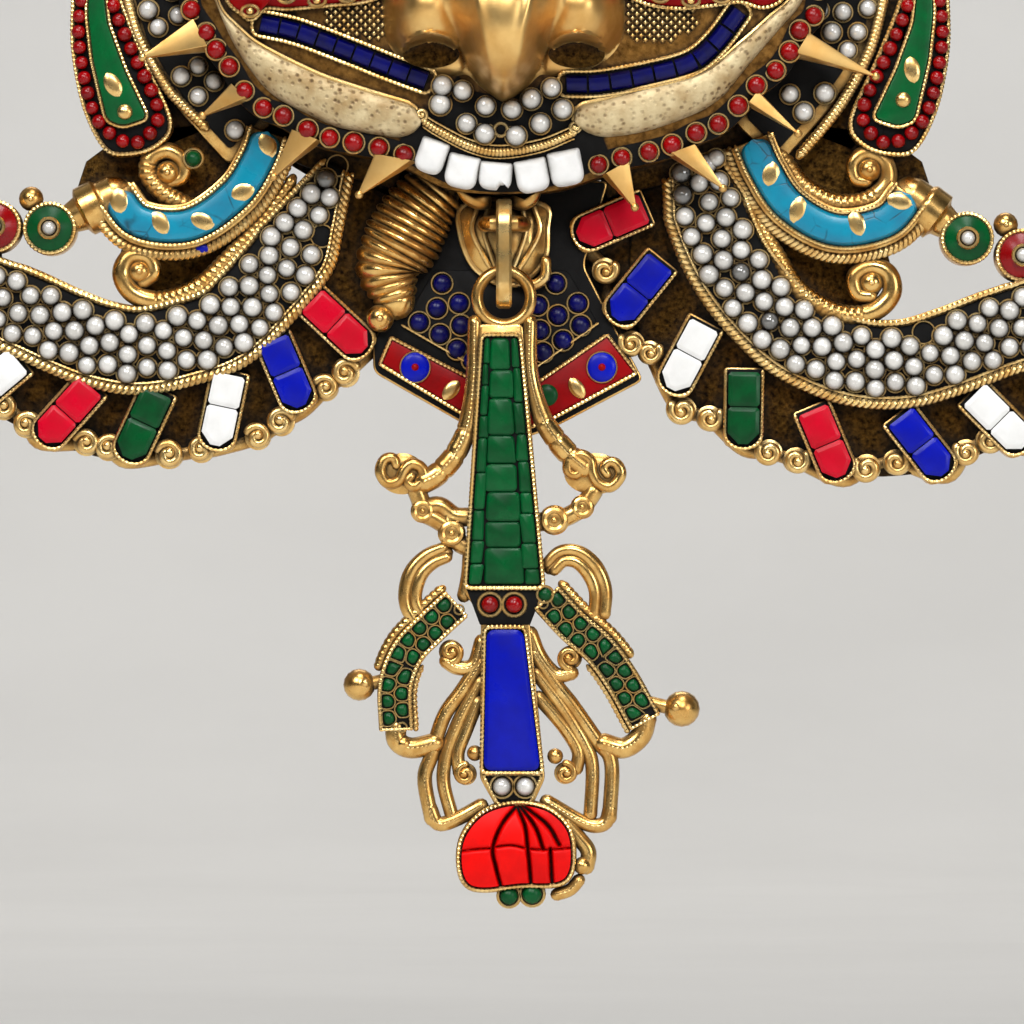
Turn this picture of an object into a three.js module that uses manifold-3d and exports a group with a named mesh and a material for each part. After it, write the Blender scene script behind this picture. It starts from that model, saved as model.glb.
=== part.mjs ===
// Kirtimukha wall mask: a cast brass monster face set with stones, two side wings and a swinging pendant.
// Units are millimetres and +Z is up. The mask looks along -Y and its back rests on the plane y = 0.
// Drawing points are [x, z] from the middle of the mouth. A depth is a distance out from the wall.
import * as THREE from "three";
import Module from "manifold-3d";

const wasm = await Module();
wasm.setup();

// Driving dimensions.
const HANG_HEIGHT = 74;
const SEAT_GAP = 0.35;
const CLEAR_FRONT = 70;
const HOLLOW_DEPTH = 15;
const SHELL_WALL = 5;
const PAD_LENGTH = 120;
const PAD_HEIGHT = 20;
const PAD_DROP = 3;
const PAD_THICK = 4;
const NAIL_RADIUS = 3.2;
const NAIL_DROP = 6.8;
const PLATE_BACK = 3;
const WING_FLOOR = 7;
const WING_STEPS = 10;
const TRAY_TOP = 12.5;
const BEAD_BED_TOP = 12;
const STONE_FLOOR = 8;
const STONE_TOP = 13.2;
const STONE_FRAME_TOP = 11;
const STONE_FRAME_WIDTH = 1.2;
const TRAY_WALL = 1.8;
const WEB_TOP = 6.5;
const MANE_TOP = 12;
const EAR_TOP = 13;
const EAR_STONE_DEPTHS = [9.5, 14.6];
const EAR_BEAD_DEPTHS = [10.5, 13.6];
const EAR_BEAD_HALF = 1.1;
const ARM_TOP = 14;
const ARM_HALF = 4.8;
const ARM_STONE_DEPTHS = [10.5, 15.4];
const DISC_FLOOR = 9;
const DISC_TOP = 14.5;
const DISC_TIP_RADIUS = 2.6;
const DISC_MOUNT_TOP = 12;
const DISC_MOUNT_WALL = 1.2;
const ROUND_SIDES = 8;
const TOOTH_DEPTHS = [21.6, 28.4];
const LIP_BED_DEPTHS = [25.5, 30];
const LIP_BED_HALF = 2.9;
const CHIN_DEPTHS = [4, 10.5];
const CHIN_STONE_DEPTHS = [8.2, 11.4];
const CROWN_DEPTHS = [5, 13];
const CROWN_MOUNT_DEPTHS = [6, 15];
const CROWN_STONE_DEPTHS = [11, 17.4];
const JEWEL_MIDDLE = [0, 68];
const JEWEL_MOUNT_DEPTHS = [14, 34];
const JEWEL_DEPTHS = [30, 36.5];
const SPIKE_LOW = 10;
const SPIKE_RIDGE = 23;
const SPIKE_TIP = 15;
const SPIKE_RUN_IN = 3;
const SCROLL_TOP = 10;
const STEM_DEPTH = 9;
const GRAIN_DEPTH = 8.5;
const GRAIN_RADIUS = 2.8;
const RIBBED_HORN_DEPTH = 9.5;
const FACE_RIM_DEPTH = 14;
const FACE_RISE = 17;
const FACE_HALF_WIDTH = 70;
const FACE_HALF_HEIGHT = 54;
const FACE_MIDDLE = 40;
const FACE_CORE = [0, 36];
const NOSE_CORE = [0, 26];
const NOSE_BACK = 12;
const NOSE_RISE = 23;
const NOSE_BRIDGE_START = 30;
const NOSE_BRIDGE_FALL = 0.42;
const EYE_MIDDLE = [37, 43];
const EYE_REACH = [12.6, 5.8];
const EYE_BACK = 24;
const EYE_RISE = 6;
const LID_REACH = [17, 9.6];
const LID_BACK = 16;
const LID_RISE = 4.2;
const PIVOT_HEIGHT = -20.4;
const PIVOT_DEPTH = 22;
const RING_RADIUS = 5.35;
const RING_WIRE = 0.95;
const LINK_HALF_THICK = 1.55;
const LINK_OUTER = 5.4;
const LINK_INNER = 2.35;
const LINK_TOP = -5.95;
const LINK_BOTTOM = -28;
const BAR_RADIUS = 1.6;
const BAR_LENGTH = 10;
const LEG_MIDDLE = [3.9, -10.9];
const LEG_SIZE = [2.6, 3.4];
const LEG_DEPTHS = [7, 22.6];
const TONGUE_MIDDLE = [0, -13];
const TONGUE_REACH = [9, 9.6];
const TONGUE_DEPTHS = [6, 15.6];
const PENDANT_BACK = 19;
const PENDANT_FRONT = 23.6;
const PENDANT_SEAT = 21.5;
const PENDANT_MIDDLE = 21.4;
const PENDANT_STONE_DEPTHS = [PENDANT_SEAT, 24.8];
const LOTUS_MIDDLE = [2.2, -135];
const LOTUS_TOP = 26.6;
const LOTUS_RIM = 1.3;
const TILE_LENGTH = 14.6;
const TILE_WIDTH = 6.3;
const DISC_RADIUS = 5.1;

// Outlines and paths of the right half, the left being its mirror.
const FACE_EDGE = [[0, -5.5], [14, -5.5], [23, -4], [32, -0.6], [42, 4.4], [51.5, 11.6], [59.5, 20.6],
  [65.4, 30.6], [68, 42], [66.5, 56], [58, 70], [40, 80], [20, 84.4], [0, 85.6]];
const NOSE_EDGE = [[0, 12.6], [4.6, 13.6], [9, 17.6], [15, 17.4], [20.5, 20.6], [23.6, 26], [23.8, 33],
  [20, 40], [12.5, 46], [8.6, 54], [7, 62], [0, 65]];
const CHEEK_PATH = [[15, 9.8], [27.2, 11.8], [37.4, 15], [45.6, 20], [52.4, 26.6], [57.6, 34.5], [59.4, 44]];
const CORAL_PATH = [[20.4, 1.4], [28.8, 3], [37.8, 6.8], [46.6, 12.4], [53.8, 19.6], [59.4, 27.6], [62.6, 36],
  [63.6, 46]];
const MANE_EDGE = [[55, 1], [60, 6.4], [65, 12], [69.6, 18.6], [73.6, 25.6], [76, 34], [77, 44], [74, 56],
  [64, 60], [56, 40], [46, 10]];
const EAR_EDGE = [[86.6, 34], [86.6, 24], [84.4, 12.6], [80.2, 4.2], [75.6, 2.8], [69.4, 4.6], [66.4, 9.8],
  [71.6, 22], [76.4, 34], [79.6, 46], [83, 54], [86, 45]];
const EAR_STONE = [[81.6, 37], [83, 26], [80.2, 13], [75.6, 8.2], [71.6, 10.8], [77, 23.4]];
const EAR_BEAD_PATH = [[80, 42], [78.6, 34], [74.7, 24.4], [69.3, 12.4], [71.2, 7], [75.7, 5.6], [81.9, 11.2],
  [85, 25.4], [84.2, 36], [83, 43]];
const ARM_PATH = [[48.4, 6.8], [51, -0.5], [56, -6.8], [64.4, -11.3], [74, -10.4], [80.2, -5]];
const ARM_WEB = [[46, 9], [47, -4], [50, -14], [58, -24], [72, -30], [78, -20], [76, -12], [88, -10], [84, 2],
  [76, 8], [60, 10]];
const BROW_PATH = [[9, 54], [20, 60.4], [36, 63.6], [51, 60], [60, 52]];
const DIADEM_PATH = [[-46, 64], [-26, 73], [0, 76], [26, 73], [46, 64]];
const HORN_PATH = [[44, 72, 18], [60, 76, 18], [74, 86, 16], [80, 99, 14], [76, 112, 13]];
const CROWN_EDGE = [[0, 118], [4.6, 110], [10, 101], [14.4, 105], [19, 100.5], [23, 92], [28, 95], [34, 89.6],
  [39, 82], [46, 78], [47, 66], [0, 70]];
const CROWN_STONES = [["crown_stone_middle", 0, 100, 5, "lapis"], ["crown_stone_left", -19, 90, 4, "coral"],
  ["crown_stone_right", 19, 90, 4, "coral"]];

// Each wing follows its own measured line, from the jaw round to the tip.
const WING_PATH = {
  left: [[-33.6, 0.6], [-38.6, -9], [-42.6, -16.4], [-48.8, -24], [-55.8, -31], [-63.8, -34], [-72.8, -35.8],
    [-80.8, -34.6], [-87.8, -32], [-94.8, -28.8], [-102.4, -25.4], [-110.5, -20], [-114.5, -11],
    [-114.5, -3]],
  right: [[38.2, 0], [43.2, -14], [48.2, -22.6], [56.6, -31.6], [64.2, -36], [72.2, -38.4], [80.8, -38.4],
    [89.2, -36], [97, -33], [105.4, -29.8], [113.4, -23.6], [117, -14], [116.8, -5]],
};

// Wing stones as [x, z, lean in degrees from straight down, positive to the right, length if shorter].
const WING_STONES = {
  left: [[-33.2, -31, 47], [-43.4, -40.6, 23], [-56.4, -48, -12], [-72.4, -51, -25], [-87.6, -48.6, -42],
    [-102.8, -42.8, -50], [-114.8, -34.2, -60, 11.4], [-123, -21.4, -78, 11], [-124.8, -6.8, -96, 10.4]],
  right: [[21.4, -10.4, -67], [26.8, -24, -39], [36.8, -37.4, -28], [48, -47.6, -1], [64.6, -54.6, 23],
    [83.8, -55, 38], [99.2, -50, 45], [114.8, -42.6, 56, 12.6], [124.2, -29.8, 74, 11],
    [127, -14.6, 94, 10.4]],
};
const STONE_COLOURS = {
  left: ["crimson", "royal_blue", "white", "green", "crimson", "white", "green", "royal_blue", "crimson"],
  right: ["crimson", "royal_blue", "white", "green", "crimson", "royal_blue", "white", "green", "crimson",
    "royal_blue"],
};

// Pyramid spikes as [base x, base z, tip x, tip z, half width of the base].
const SPIKES = {
  left: [[-24.5, 0, -29.4, -6, 4], [-40, 5, -46.4, -2.4, 3.4], [-54, 14.4, -60.8, 10, 3],
    [-61.6, 26.4, -70.2, 22.8, 3.6]],
  right: [[23.4, -0.6, 26.4, -8.6, 3.4], [37, 3.4, 44.2, -4.6, 3.4], [50.6, 13.2, 59.2, 6.4, 3],
    [61, 24.4, 71.2, 19.4, 3.6]],
};

// Discs as [x, z] beyond each arm, green nearer the face and red further out, with a gold ball between.
const DISCS = {
  left: { green: [-91, -11.6], red: [-102, -11.2], ball: [-94.8, -5.6] },
  right: { green: [92.8, -13.6], red: [103.8, -17], ball: [100.6, -10.8] },
};

// Scrolls as [centre x, centre z, radius] with the path of their stem.
const SCROLLS = {
  left: [[-67.8, -1.6, 4], [-73.2, -20.6, 4]],
  right: [[72.8, 0, 4], [73.2, -23, 4.4]],
};
const STEMS = {
  left: [[-74.8, -25], [-68.8, -26], [-60.8, -23], [-53.8, -16], [-46, -6], [-43.8, -2]],
  right: [[78.2, -25], [74.2, -29], [67.2, -29], [59.2, -24], [50.2, -9], [46.2, -2]],
};

// Teeth as [x, z, width, height, tilt in degrees].
const TEETH = [[-14.6, 2.6, 5.4, 6.4, -18], [-8.4, -0.3, 6, 6.6, -12], [-1.7, -1.3, 6.2, 5.6, -4],
  [5.6, -1.2, 6.2, 6.4, 9], [12.3, 0.3, 6.2, 6.8, 10]];
const LIP_BED = [[-12.6, 12.2], [-8.4, 8.6], [0, 7], [8.4, 8.6], [11.6, 11.2]];
const LIP_ROPE = [[-14.6, 9.4], [-8, 4.8], [-0.8, 3.2], [7.4, 4.8], [14.4, 8.6]];
const MOUSTACHE_PATH = {
  left: [[-15.6, 17], [-22, 19.6], [-29.8, 22.6], [-40.8, 26.8], [-48, 28.6]],
  right: [[13.6, 16.8], [19.2, 16.8], [29.2, 18.4], [37, 20.8], [42.2, 25], [46.6, 31]],
};

// Chin fan, its beaded field and the enamel band round it.
const CHIN_EDGE = [[-21, -2], [-17, -19], [-26.4, -34], [-26.2, -40.4], [-7, -51.4], [0, -55], [9.8, -51.6],
  [28, -42], [22.6, -32], [16, -19], [21, -2]];
const CHIN_FIELD = [[-14, -20], [-20.4, -31], [-5.4, -39.6], [0, -41], [5.6, -40], [18.8, -30.6],
  [12.8, -20]];
const CHIN_ENAMEL = [[-22.4, -34], [-5.8, -42.6], [0, -44.4], [6.6, -43], [20.6, -33.4], [26, -40.4],
  [9.4, -49.4], [0, -53], [-6.8, -49.2], [-24.4, -38.6]];
const RIBBED_HORN = [[-13, -3], [-17, -8], [-20.6, -14.4], [-23, -20], [-21.4, -26.4]];

// Pendant, drawn hanging at rest.
const GREEN_PANEL = [[-4, -33.6], [2.8, -33.6], [7.4, -83], [-7.2, -83]];
const BLUE_PANEL = [[-3.4, -91.8], [3.8, -91.8], [7.2, -119.8], [-4, -119.8]];
const SPINE = [[-5.2, -31], [4, -31], [9, -85], [5, -89], [9, -121.4], [9.6, -127], [-6.4, -127],
  [-5.6, -121.4], [-4.6, -89], [-8.8, -85]];
const LOTUS_EDGE = [[2.2, -126.8], [-3.8, -128.6], [-7.6, -133], [-8.4, -138], [-7.2, -142], [-3.8, -143],
  [3.2, -142.2], [10.2, -142], [12.8, -140], [13.2, -135], [12, -131], [8.2, -127.8]];
const SCALE_PATH = {
  left: [[-9.6, -86.8], [-14.8, -91.6], [-19.2, -96.4], [-21.6, -103], [-21.4, -111.6]],
  right: [[8.6, -85.6], [13.6, -91], [19.2, -96], [23.6, -102], [28, -110]],
};

// Pendant scrollwork as paths of [x, z] with a radius that runs from first to last.
const PENDANT_WIRES = [
  [[[-5.4, -32], [-5.6, -42], [-8, -57], [-16, -62.6]], 1.2, 1.6],
  [[[5, -32], [5.4, -40], [11, -54], [15.2, -58]], 1.2, 1.6],
  [[[-7, -65], [-12, -65.4], [-17.6, -61]], 1.3, 1.3],
  [[[7, -64], [11, -62.4], [15.2, -60]], 1.3, 1.3],
  [[[-7, -69.4], [-10.2, -72], [-16.2, -68.4]], 1.3, 1.3],
  [[[7.6, -70.4], [10, -70], [15.6, -67.6]], 1.3, 1.3],
  [[[-7.6, -76], [-12.4, -77], [-17.8, -80], [-20.2, -85], [-16.6, -91]], 1.2, 1.9],
  [[[7.8, -79], [13.2, -77], [18.2, -80], [20.6, -85], [17.6, -92]], 1.2, 1.9],
  [[[-23, -101.6], [-28.8, -103]], 1.5, 1.2],
  [[[27, -105.6], [35.2, -107.4]], 1.5, 1.2],
  [[[-4.6, -97.6], [-9.8, -108], [-14.2, -116], [-14.8, -122], [-12.6, -130], [-7.6, -132]], 1.4, 1.6],
  [[[5.4, -95], [11.2, -104], [16.2, -112], [20.2, -120], [20.4, -128], [12.6, -132]], 1.4, 1.6],
  [[[-4.8, -104], [-8.8, -112], [-11.4, -119], [-7.8, -121]], 1.1, 1.2],
  [[[6.4, -101], [14, -115], [16, -121], [12.6, -121]], 1.1, 1.2],
  [[[-4.4, -92], [-8, -92.6], [-11.4, -96.4]], 1.2, 1.5],
  [[[4.8, -92], [9, -93.6], [12.8, -98]], 1.2, 1.5],
  [[[-21.2, -110], [-19.8, -114.4], [-14, -114.4]], 1.2, 1.2],
  [[[27, -108.4], [24, -115], [17.6, -114.6]], 1.2, 1.2],
  [[[12, -131], [15.6, -134], [16.6, -139], [12.4, -142]], 1.1, 1.1],
];
const PENDANT_BALLS = [[-21.8, -60, 3.3], [-17.8, -61, 3], [15.2, -60, 3], [20.2, -61, 3.3],
  [-16.2, -68.4, 2.4], [-10.2, -72, 2.8], [9.8, -70, 2.8], [15.6, -67.6, 2.4], [-28.8, -103, 3.3],
  [35.2, -107.4, 3.7],
  [-11.4, -96.4, 2.6], [12.8, -98, 2.6], [-7.8, -120, 2.6], [12.6, -120.4, 2.6], [1, -144.8, 1.9],
  [5.6, -144.4, 1.9]];

const SIDES = [["left", -1], ["right", 1]];
const FINISHES = {
  brass: [0xc8964c, 0.32, 1],
  white: [0xf4f4f2, 0.3, 0],
  pearl: [0xe8e6e0, 0.3, 0],
  lapis: [0x0a1478, 0.25, 0],
  coral: [0xbe0c16, 0.25, 0],
  green: [0x04663a, 0.25, 0],
  turquoise: [0x0496b4, 0.3, 0],
  crimson: [0xe0103c, 0.2, 0],
  royal_blue: [0x0832c8, 0.2, 0],
  enamel: [0x82040c, 0.25, 0],
  lotus_red: [0xf01a0a, 0.2, 0],
};
const materials = {};
for (const [slot, [color, roughness, metalness]] of Object.entries(FINISHES)) {
  materials[slot] = new THREE.MeshStandardMaterial({ name: slot, color, roughness, metalness });
}

// A point in the drawing, placed in the part's frame with the hanging pad at the origin.
const place = (x, z, depth) => new THREE.Vector3(x, -depth, z - HANG_HEIGHT);
const mirror = (points, sign) => points.map(([x, ...rest]) => [x * sign, ...rest]);
const constant = (value) => () => value;
const between = (first, last) => (u) => first + (last - first) * u;

// Depth of the face's domed surface.
function faceDepth(x, z) {
  const across = x / FACE_HALF_WIDTH;
  const up = (z - FACE_MIDDLE) / FACE_HALF_HEIGHT;
  const inside = Math.max(0, 1 - across * across - up * up);
  return FACE_RIM_DEPTH + FACE_RISE * Math.sqrt(inside);
}

// A closed solid from corner points and triangles, turned outward if it was built inside out.
function solidFrom(corners, triangles) {
  let volume = 0;
  for (let i = 0; i < triangles.length; i += 3) {
    const [a, b, c] = [corners[triangles[i]], corners[triangles[i + 1]], corners[triangles[i + 2]]];
    volume += a.dot(b.clone().cross(c));
  }
  const order = volume < 0 ? triangles.slice().reverse() : triangles;
  const coordinates = corners.flatMap((p) => [p.x, p.y, p.z]);
  return new wasm.Manifold(new wasm.Mesh({
    numProp: 3,
    vertProperties: new Float32Array(coordinates),
    triVerts: new Uint32Array(order),
  }));
}

// A solid from one of the library's own closed geometries, its doubled corners welded.
function solidOf(geometry) {
  const position = geometry.attributes.position;
  const index = geometry.index ? Array.from(geometry.index.array) : Array.from(position.array.keys());
  const total = geometry.index ? index.length : position.count;
  const known = new Map();
  const corners = [];
  const triangles = [];
  for (let i = 0; i < total; i++) {
    const p = new THREE.Vector3().fromBufferAttribute(position, index[i]);
    const key = p.toArray().map((value) => Math.round(value * 1e4)).join();
    if (!known.has(key)) {
      known.set(key, corners.length);
      corners.push(p);
    }
    triangles.push(known.get(key));
  }
  const kept = [];
  for (let i = 0; i < triangles.length; i += 3) {
    const [a, b, c] = triangles.slice(i, i + 3);
    if (a !== b && b !== c && c !== a) {
      kept.push(a, b, c);
    }
  }
  return solidFrom(corners, kept);
}

// Joins a list of solids into one.
const join = (solids) => solids.reduce((sum, next) => sum.add(next));

// Skins closed rings of points, one after the next, and closes both ends.
function skin(rings) {
  const count = rings[0].length;
  const triangles = [];
  for (let i = 0; i + 1 < rings.length; i++) {
    for (let j = 0; j < count; j++) {
      const k = (j + 1) % count;
      const [a, b] = [i * count + j, i * count + k];
      triangles.push(a, b, b + count, a, b + count, a + count);
    }
  }
  const last = (rings.length - 1) * count;
  for (let j = 1; j + 1 < count; j++) {
    triangles.push(0, j + 1, j, last, last + j, last + j + 1);
  }
  return solidFrom(rings.flat(), triangles);
}

// Samples a smooth closed outline through a few points.
function smoothOutline(points, steps) {
  const loop = new THREE.CatmullRomCurve3(points.map(([x, z]) => new THREE.Vector3(x, z, 0)), true);
  return loop.getSpacedPoints(steps).slice(0, steps).map((p) => [p.x, p.y]);
}

// Samples a smooth path with its sideways direction at each step.
// The two ends can run on by a set amount.
function walk(points, steps, runOn = 0) {
  const curve = new THREE.SplineCurve(points.map(([x, z]) => new THREE.Vector2(x, z)));
  return Array.from({ length: steps + 1 }, (unused, i) => {
    const u = i / steps;
    const along = curve.getTangentAt(u);
    const shift = i === 0 ? -runOn : i === steps ? runOn : 0;
    const p = curve.getPointAt(u).addScaledVector(along, shift);
    return { u, x: p.x, z: p.y, sideX: -along.y, sideZ: along.x };
  });
}

// Outline of a strip along a path, by its reach to the left and to the right of the walk.
function stripOutline(points, left, right, steps) {
  const stops = walk(points, steps);
  const leftEdge = stops.map((s) => [s.x + s.sideX * left(s.u), s.z + s.sideZ * left(s.u)]);
  const rightEdge = stops.map((s) => [s.x - s.sideX * right(s.u), s.z - s.sideZ * right(s.u)]);
  return [...leftEdge, ...rightEdge.reverse()];
}

// Moves every side of a closed outline outward by a distance.
function grow(outline, distance) {
  const total = outline.length;
  let area = 0;
  outline.forEach(([x, z], i) => {
    const [nextX, nextZ] = outline[(i + 1) % total];
    area += x * nextZ - nextX * z;
  });
  const turn = area > 0 ? distance : -distance;
  return outline.map(([x, z], i) => {
    const [lastX, lastZ] = outline[(i + total - 1) % total];
    const [nextX, nextZ] = outline[(i + 1) % total];
    const before = new THREE.Vector2(z - lastZ, lastX - x).normalize();
    const after = new THREE.Vector2(nextZ - z, x - nextX).normalize();
    const bisector = before.clone().add(after);
    const scale = turn / Math.max(0.5, 1 + before.dot(after));
    return [x + bisector.x * scale, z + bisector.y * scale];
  });
}

// A flat plate over an outline, from one depth out to another.
function plate(outline, back, front) {
  const shape = new THREE.Shape(outline.map(([x, z]) => new THREE.Vector2(x, z)));
  const geometry = new THREE.ExtrudeGeometry(shape, { depth: front - back, bevelEnabled: false });
  geometry.rotateX(Math.PI / 2);
  geometry.translate(0, -back, -HANG_HEIGHT);
  return solidOf(geometry);
}

// A plate whose front edges are chamfered, for a convex stone.
function stone(outline, back, front, chamfer) {
  const inner = grow(outline, -chamfer);
  return skin([
    outline.map(([x, z]) => place(x, z, back)),
    outline.map(([x, z]) => place(x, z, front - chamfer)),
    inner.map(([x, z]) => place(x, z, front)),
  ]);
}

// A mound over an outline, with a flat back and a front depth worked out at each point.
function mound(outline, centre, back, front, rings) {
  const corners = [place(centre[0], centre[1], front(centre[0], centre[1], 0))];
  const count = outline.length;
  for (let k = 1; k <= rings; k++) {
    const share = k / rings;
    for (const [x, z] of outline) {
      const px = centre[0] + (x - centre[0]) * share;
      const pz = centre[1] + (z - centre[1]) * share;
      corners.push(place(px, pz, front(px, pz, share)));
    }
  }
  corners.push(...outline.map(([x, z]) => place(x, z, back)));
  corners.push(place(centre[0], centre[1], back));
  const triangles = [];
  for (let j = 0; j < count; j++) {
    const k = (j + 1) % count;
    triangles.push(0, 1 + j, 1 + k);
    for (let ring = 0; ring < rings; ring++) {
      const [a, b] = [1 + ring * count + j, 1 + ring * count + k];
      triangles.push(a, a + count, b + count, a, b + count, b);
    }
    triangles.push(1 + rings * count + k, 1 + rings * count + j, corners.length - 1);
  }
  return solidFrom(corners, triangles);
}

// A strip that follows the domed face, raised or sunk from it by set amounts.
function faceStrip(points, halfWidth, sink, rise, steps, runOn = 0) {
  return skin(walk(points, steps, runOn).map((s) => {
    const reach = halfWidth(s.u);
    const [leftX, leftZ] = [s.x + s.sideX * reach, s.z + s.sideZ * reach];
    const [rightX, rightZ] = [s.x - s.sideX * reach, s.z - s.sideZ * reach];
    const low = faceDepth(s.x, s.z) - sink;
    return [
      place(leftX, leftZ, low),
      place(leftX, leftZ, faceDepth(leftX, leftZ) + rise),
      place(rightX, rightZ, faceDepth(rightX, rightZ) + rise),
      place(rightX, rightZ, low),
    ];
  }));
}

// A round wire through points of [x, z, depth], its radius worked out along the way.
function wire(points, radius, steps, sides) {
  const curve = new THREE.CatmullRomCurve3(points.map(([x, z, depth]) => place(x, z, depth)));
  const frames = curve.computeFrenetFrames(steps, false);
  const rings = [];
  for (let i = 0; i <= steps; i++) {
    const u = i / steps;
    const middle = curve.getPointAt(u);
    rings.push(Array.from({ length: sides }, (unused, j) => {
      const angle = (2 * Math.PI * j) / sides;
      return middle.clone()
        .addScaledVector(frames.normals[i], Math.cos(angle) * radius(u))
        .addScaledVector(frames.binormals[i], Math.sin(angle) * radius(u));
    }));
  }
  return skin(rings);
}

// A low-sided ball, for beads and grains.
function ball(x, z, depth, radius, detail = 0) {
  const geometry = new THREE.IcosahedronGeometry(radius, detail);
  const centre = place(x, z, depth);
  geometry.translate(centre.x, centre.y, centre.z);
  return solidOf(geometry);
}

// A round post from one depth out to another.
function post(x, z, back, front, radius, sides, tipRadius = radius) {
  const geometry = new THREE.CylinderGeometry(radius, tipRadius, front - back, sides);
  const centre = place(x, z, (back + front) / 2);
  geometry.translate(centre.x, centre.y, centre.z);
  return solidOf(geometry);
}

// A tilted rectangle.
function rectangle(x, z, width, height, degrees) {
  const angle = THREE.MathUtils.degToRad(degrees);
  const corners = [[-1, -1], [1, -1], [1, 1], [-1, 1]];
  return corners.map(([a, b]) => {
    const [u, v] = [(a * width) / 2, (b * height) / 2];
    return [x + u * Math.cos(angle) - v * Math.sin(angle), z + u * Math.sin(angle) + v * Math.cos(angle)];
  });
}

function ellipse(x, z, halfWidth, halfHeight, sides) {
  return Array.from({ length: sides }, (unused, j) => {
    const angle = (2 * Math.PI * j) / sides;
    return [x + halfWidth * Math.cos(angle), z + halfHeight * Math.sin(angle)];
  });
}

const circle = (x, z, radius, sides) => ellipse(x, z, radius, radius, sides);

// A round scroll standing on a plate, its eye raised.
function scroll(x, z, radius, depth) {
  const disc = post(x, z, PLATE_BACK, depth, radius, ROUND_SIDES);
  return join([disc, post(x, z, PLATE_BACK, depth + 1.6, radius * 0.5, 6)]);
}

// A pyramid spike lying outward from the face's edge.
function spike([baseX, baseZ, tipX, tipZ, halfWidth]) {
  const along = new THREE.Vector2(tipX - baseX, tipZ - baseZ).normalize();
  const [startX, startZ] = [baseX - along.x * SPIKE_RUN_IN, baseZ - along.y * SPIKE_RUN_IN];
  const [sideX, sideZ] = [-along.y * halfWidth, along.x * halfWidth];
  const corners = [
    place(startX + sideX, startZ + sideZ, SPIKE_LOW),
    place(startX - sideX, startZ - sideZ, SPIKE_LOW),
    place(startX, startZ, SPIKE_RIDGE),
    place(tipX, tipZ, SPIKE_TIP),
  ];
  return solidFrom(corners, [0, 1, 2, 0, 3, 1, 1, 3, 2, 2, 3, 0]);
}

const castParts = [];
const seats = [];
const inlays = [];

// Adds a stone by a recipe that takes a growth and a depth allowance, and records the seat it needs.
function inlay(name, slot, recipe) {
  seats.push(recipe(SEAT_GAP, true));
  inlays.push({ name, slot, solid: recipe(0, false) });
}

// A recipe for a flat stone let into a plate, from its floor to its top.
function flatStone(outline, [floor, top], chamfer) {
  return (growth, seat) => {
    if (seat) {
      return plate(grow(outline, growth), floor - growth, CLEAR_FRONT);
    }
    return chamfer > 0 ? stone(outline, floor, top, chamfer) : plate(outline, floor, top);
  };
}

// A recipe for a strip let into the domed face.
function faceInlay(points, halfWidth, sink, rise, steps) {
  return (growth, seat) => {
    const top = seat ? rise + FACE_RISE : rise;
    return faceStrip(points, (u) => halfWidth(u) + growth, sink + growth, top, steps, growth);
  };
}

// Face: dome, nose, cheeks, eye lids, brows and the band of the diadem.
const faceOutline = [...FACE_EDGE, ...mirror(FACE_EDGE.slice(1, -1).reverse(), -1)];
castParts.push(mound(faceOutline, FACE_CORE, 0, faceDepth, 3));
const noseOutline = [...NOSE_EDGE, ...mirror(NOSE_EDGE.slice(1, -1).reverse(), -1)];
const noseRise = (z) => NOSE_RISE - NOSE_BRIDGE_FALL * Math.max(0, z - NOSE_BRIDGE_START);
const noseDepth = (x, z, share) => faceDepth(x, z) + noseRise(z) * (1 - share ** 3);
castParts.push(mound(noseOutline, NOSE_CORE, NOSE_BACK, noseDepth, 3));
for (const [side, sign] of SIDES) {
  castParts.push(faceStrip(mirror(CHEEK_PATH, sign), between(4.5, 1.4), 6, 2.2, 5));
  const eye = mirror([EYE_MIDDLE], sign)[0];
  const lidDepth = (x, z, share) => faceDepth(x, z) + LID_RISE * (1 - share ** 2);
  castParts.push(mound(ellipse(...eye, ...LID_REACH, 12), eye, LID_BACK, lidDepth, 2));
  castParts.push(faceStrip(mirror(BROW_PATH, sign), between(3.6, 2.6), 6, 5, 5));
  castParts.push(wire(mirror(HORN_PATH, sign), between(6, 1.2), 5, 6));
  SPIKES[side].forEach((item) => castParts.push(spike(item)));
}
castParts.push(faceStrip(DIADEM_PATH, constant(2.8), 6, 3, 6));
castParts.push(plate([...CROWN_EDGE, ...mirror(CROWN_EDGE.slice(1, -1).reverse(), -1)], ...CROWN_DEPTHS));
castParts.push(wire(LIP_ROPE.map(([x, z]) => [x, z, faceDepth(x, z) + 1]), constant(1.3), 6, 4));

// Mouth: the staple that carries the link, made of a bar on two legs, and the tongue behind.
for (const [, sign] of SIDES) {
  castParts.push(plate(rectangle(LEG_MIDDLE[0] * sign, LEG_MIDDLE[1], ...LEG_SIZE, 0), ...LEG_DEPTHS));
}
const bar = new THREE.CylinderGeometry(BAR_RADIUS, BAR_RADIUS, BAR_LENGTH, ROUND_SIDES);
bar.rotateZ(Math.PI / 2);
const barHeight = LINK_TOP - (LINK_OUTER - LINK_INNER) - SEAT_GAP - BAR_RADIUS;
const barCentre = place(0, barHeight, PIVOT_DEPTH);
bar.translate(barCentre.x, barCentre.y, barCentre.z);
castParts.push(solidOf(bar));
const tongue = ellipse(...TONGUE_MIDDLE, ...TONGUE_REACH, 10);
const tongueDepth = (x, z, share) => TONGUE_DEPTHS[1] - 5 * share ** 2;
castParts.push(mound(tongue, TONGUE_MIDDLE, TONGUE_DEPTHS[0], tongueDepth, 2));

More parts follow.
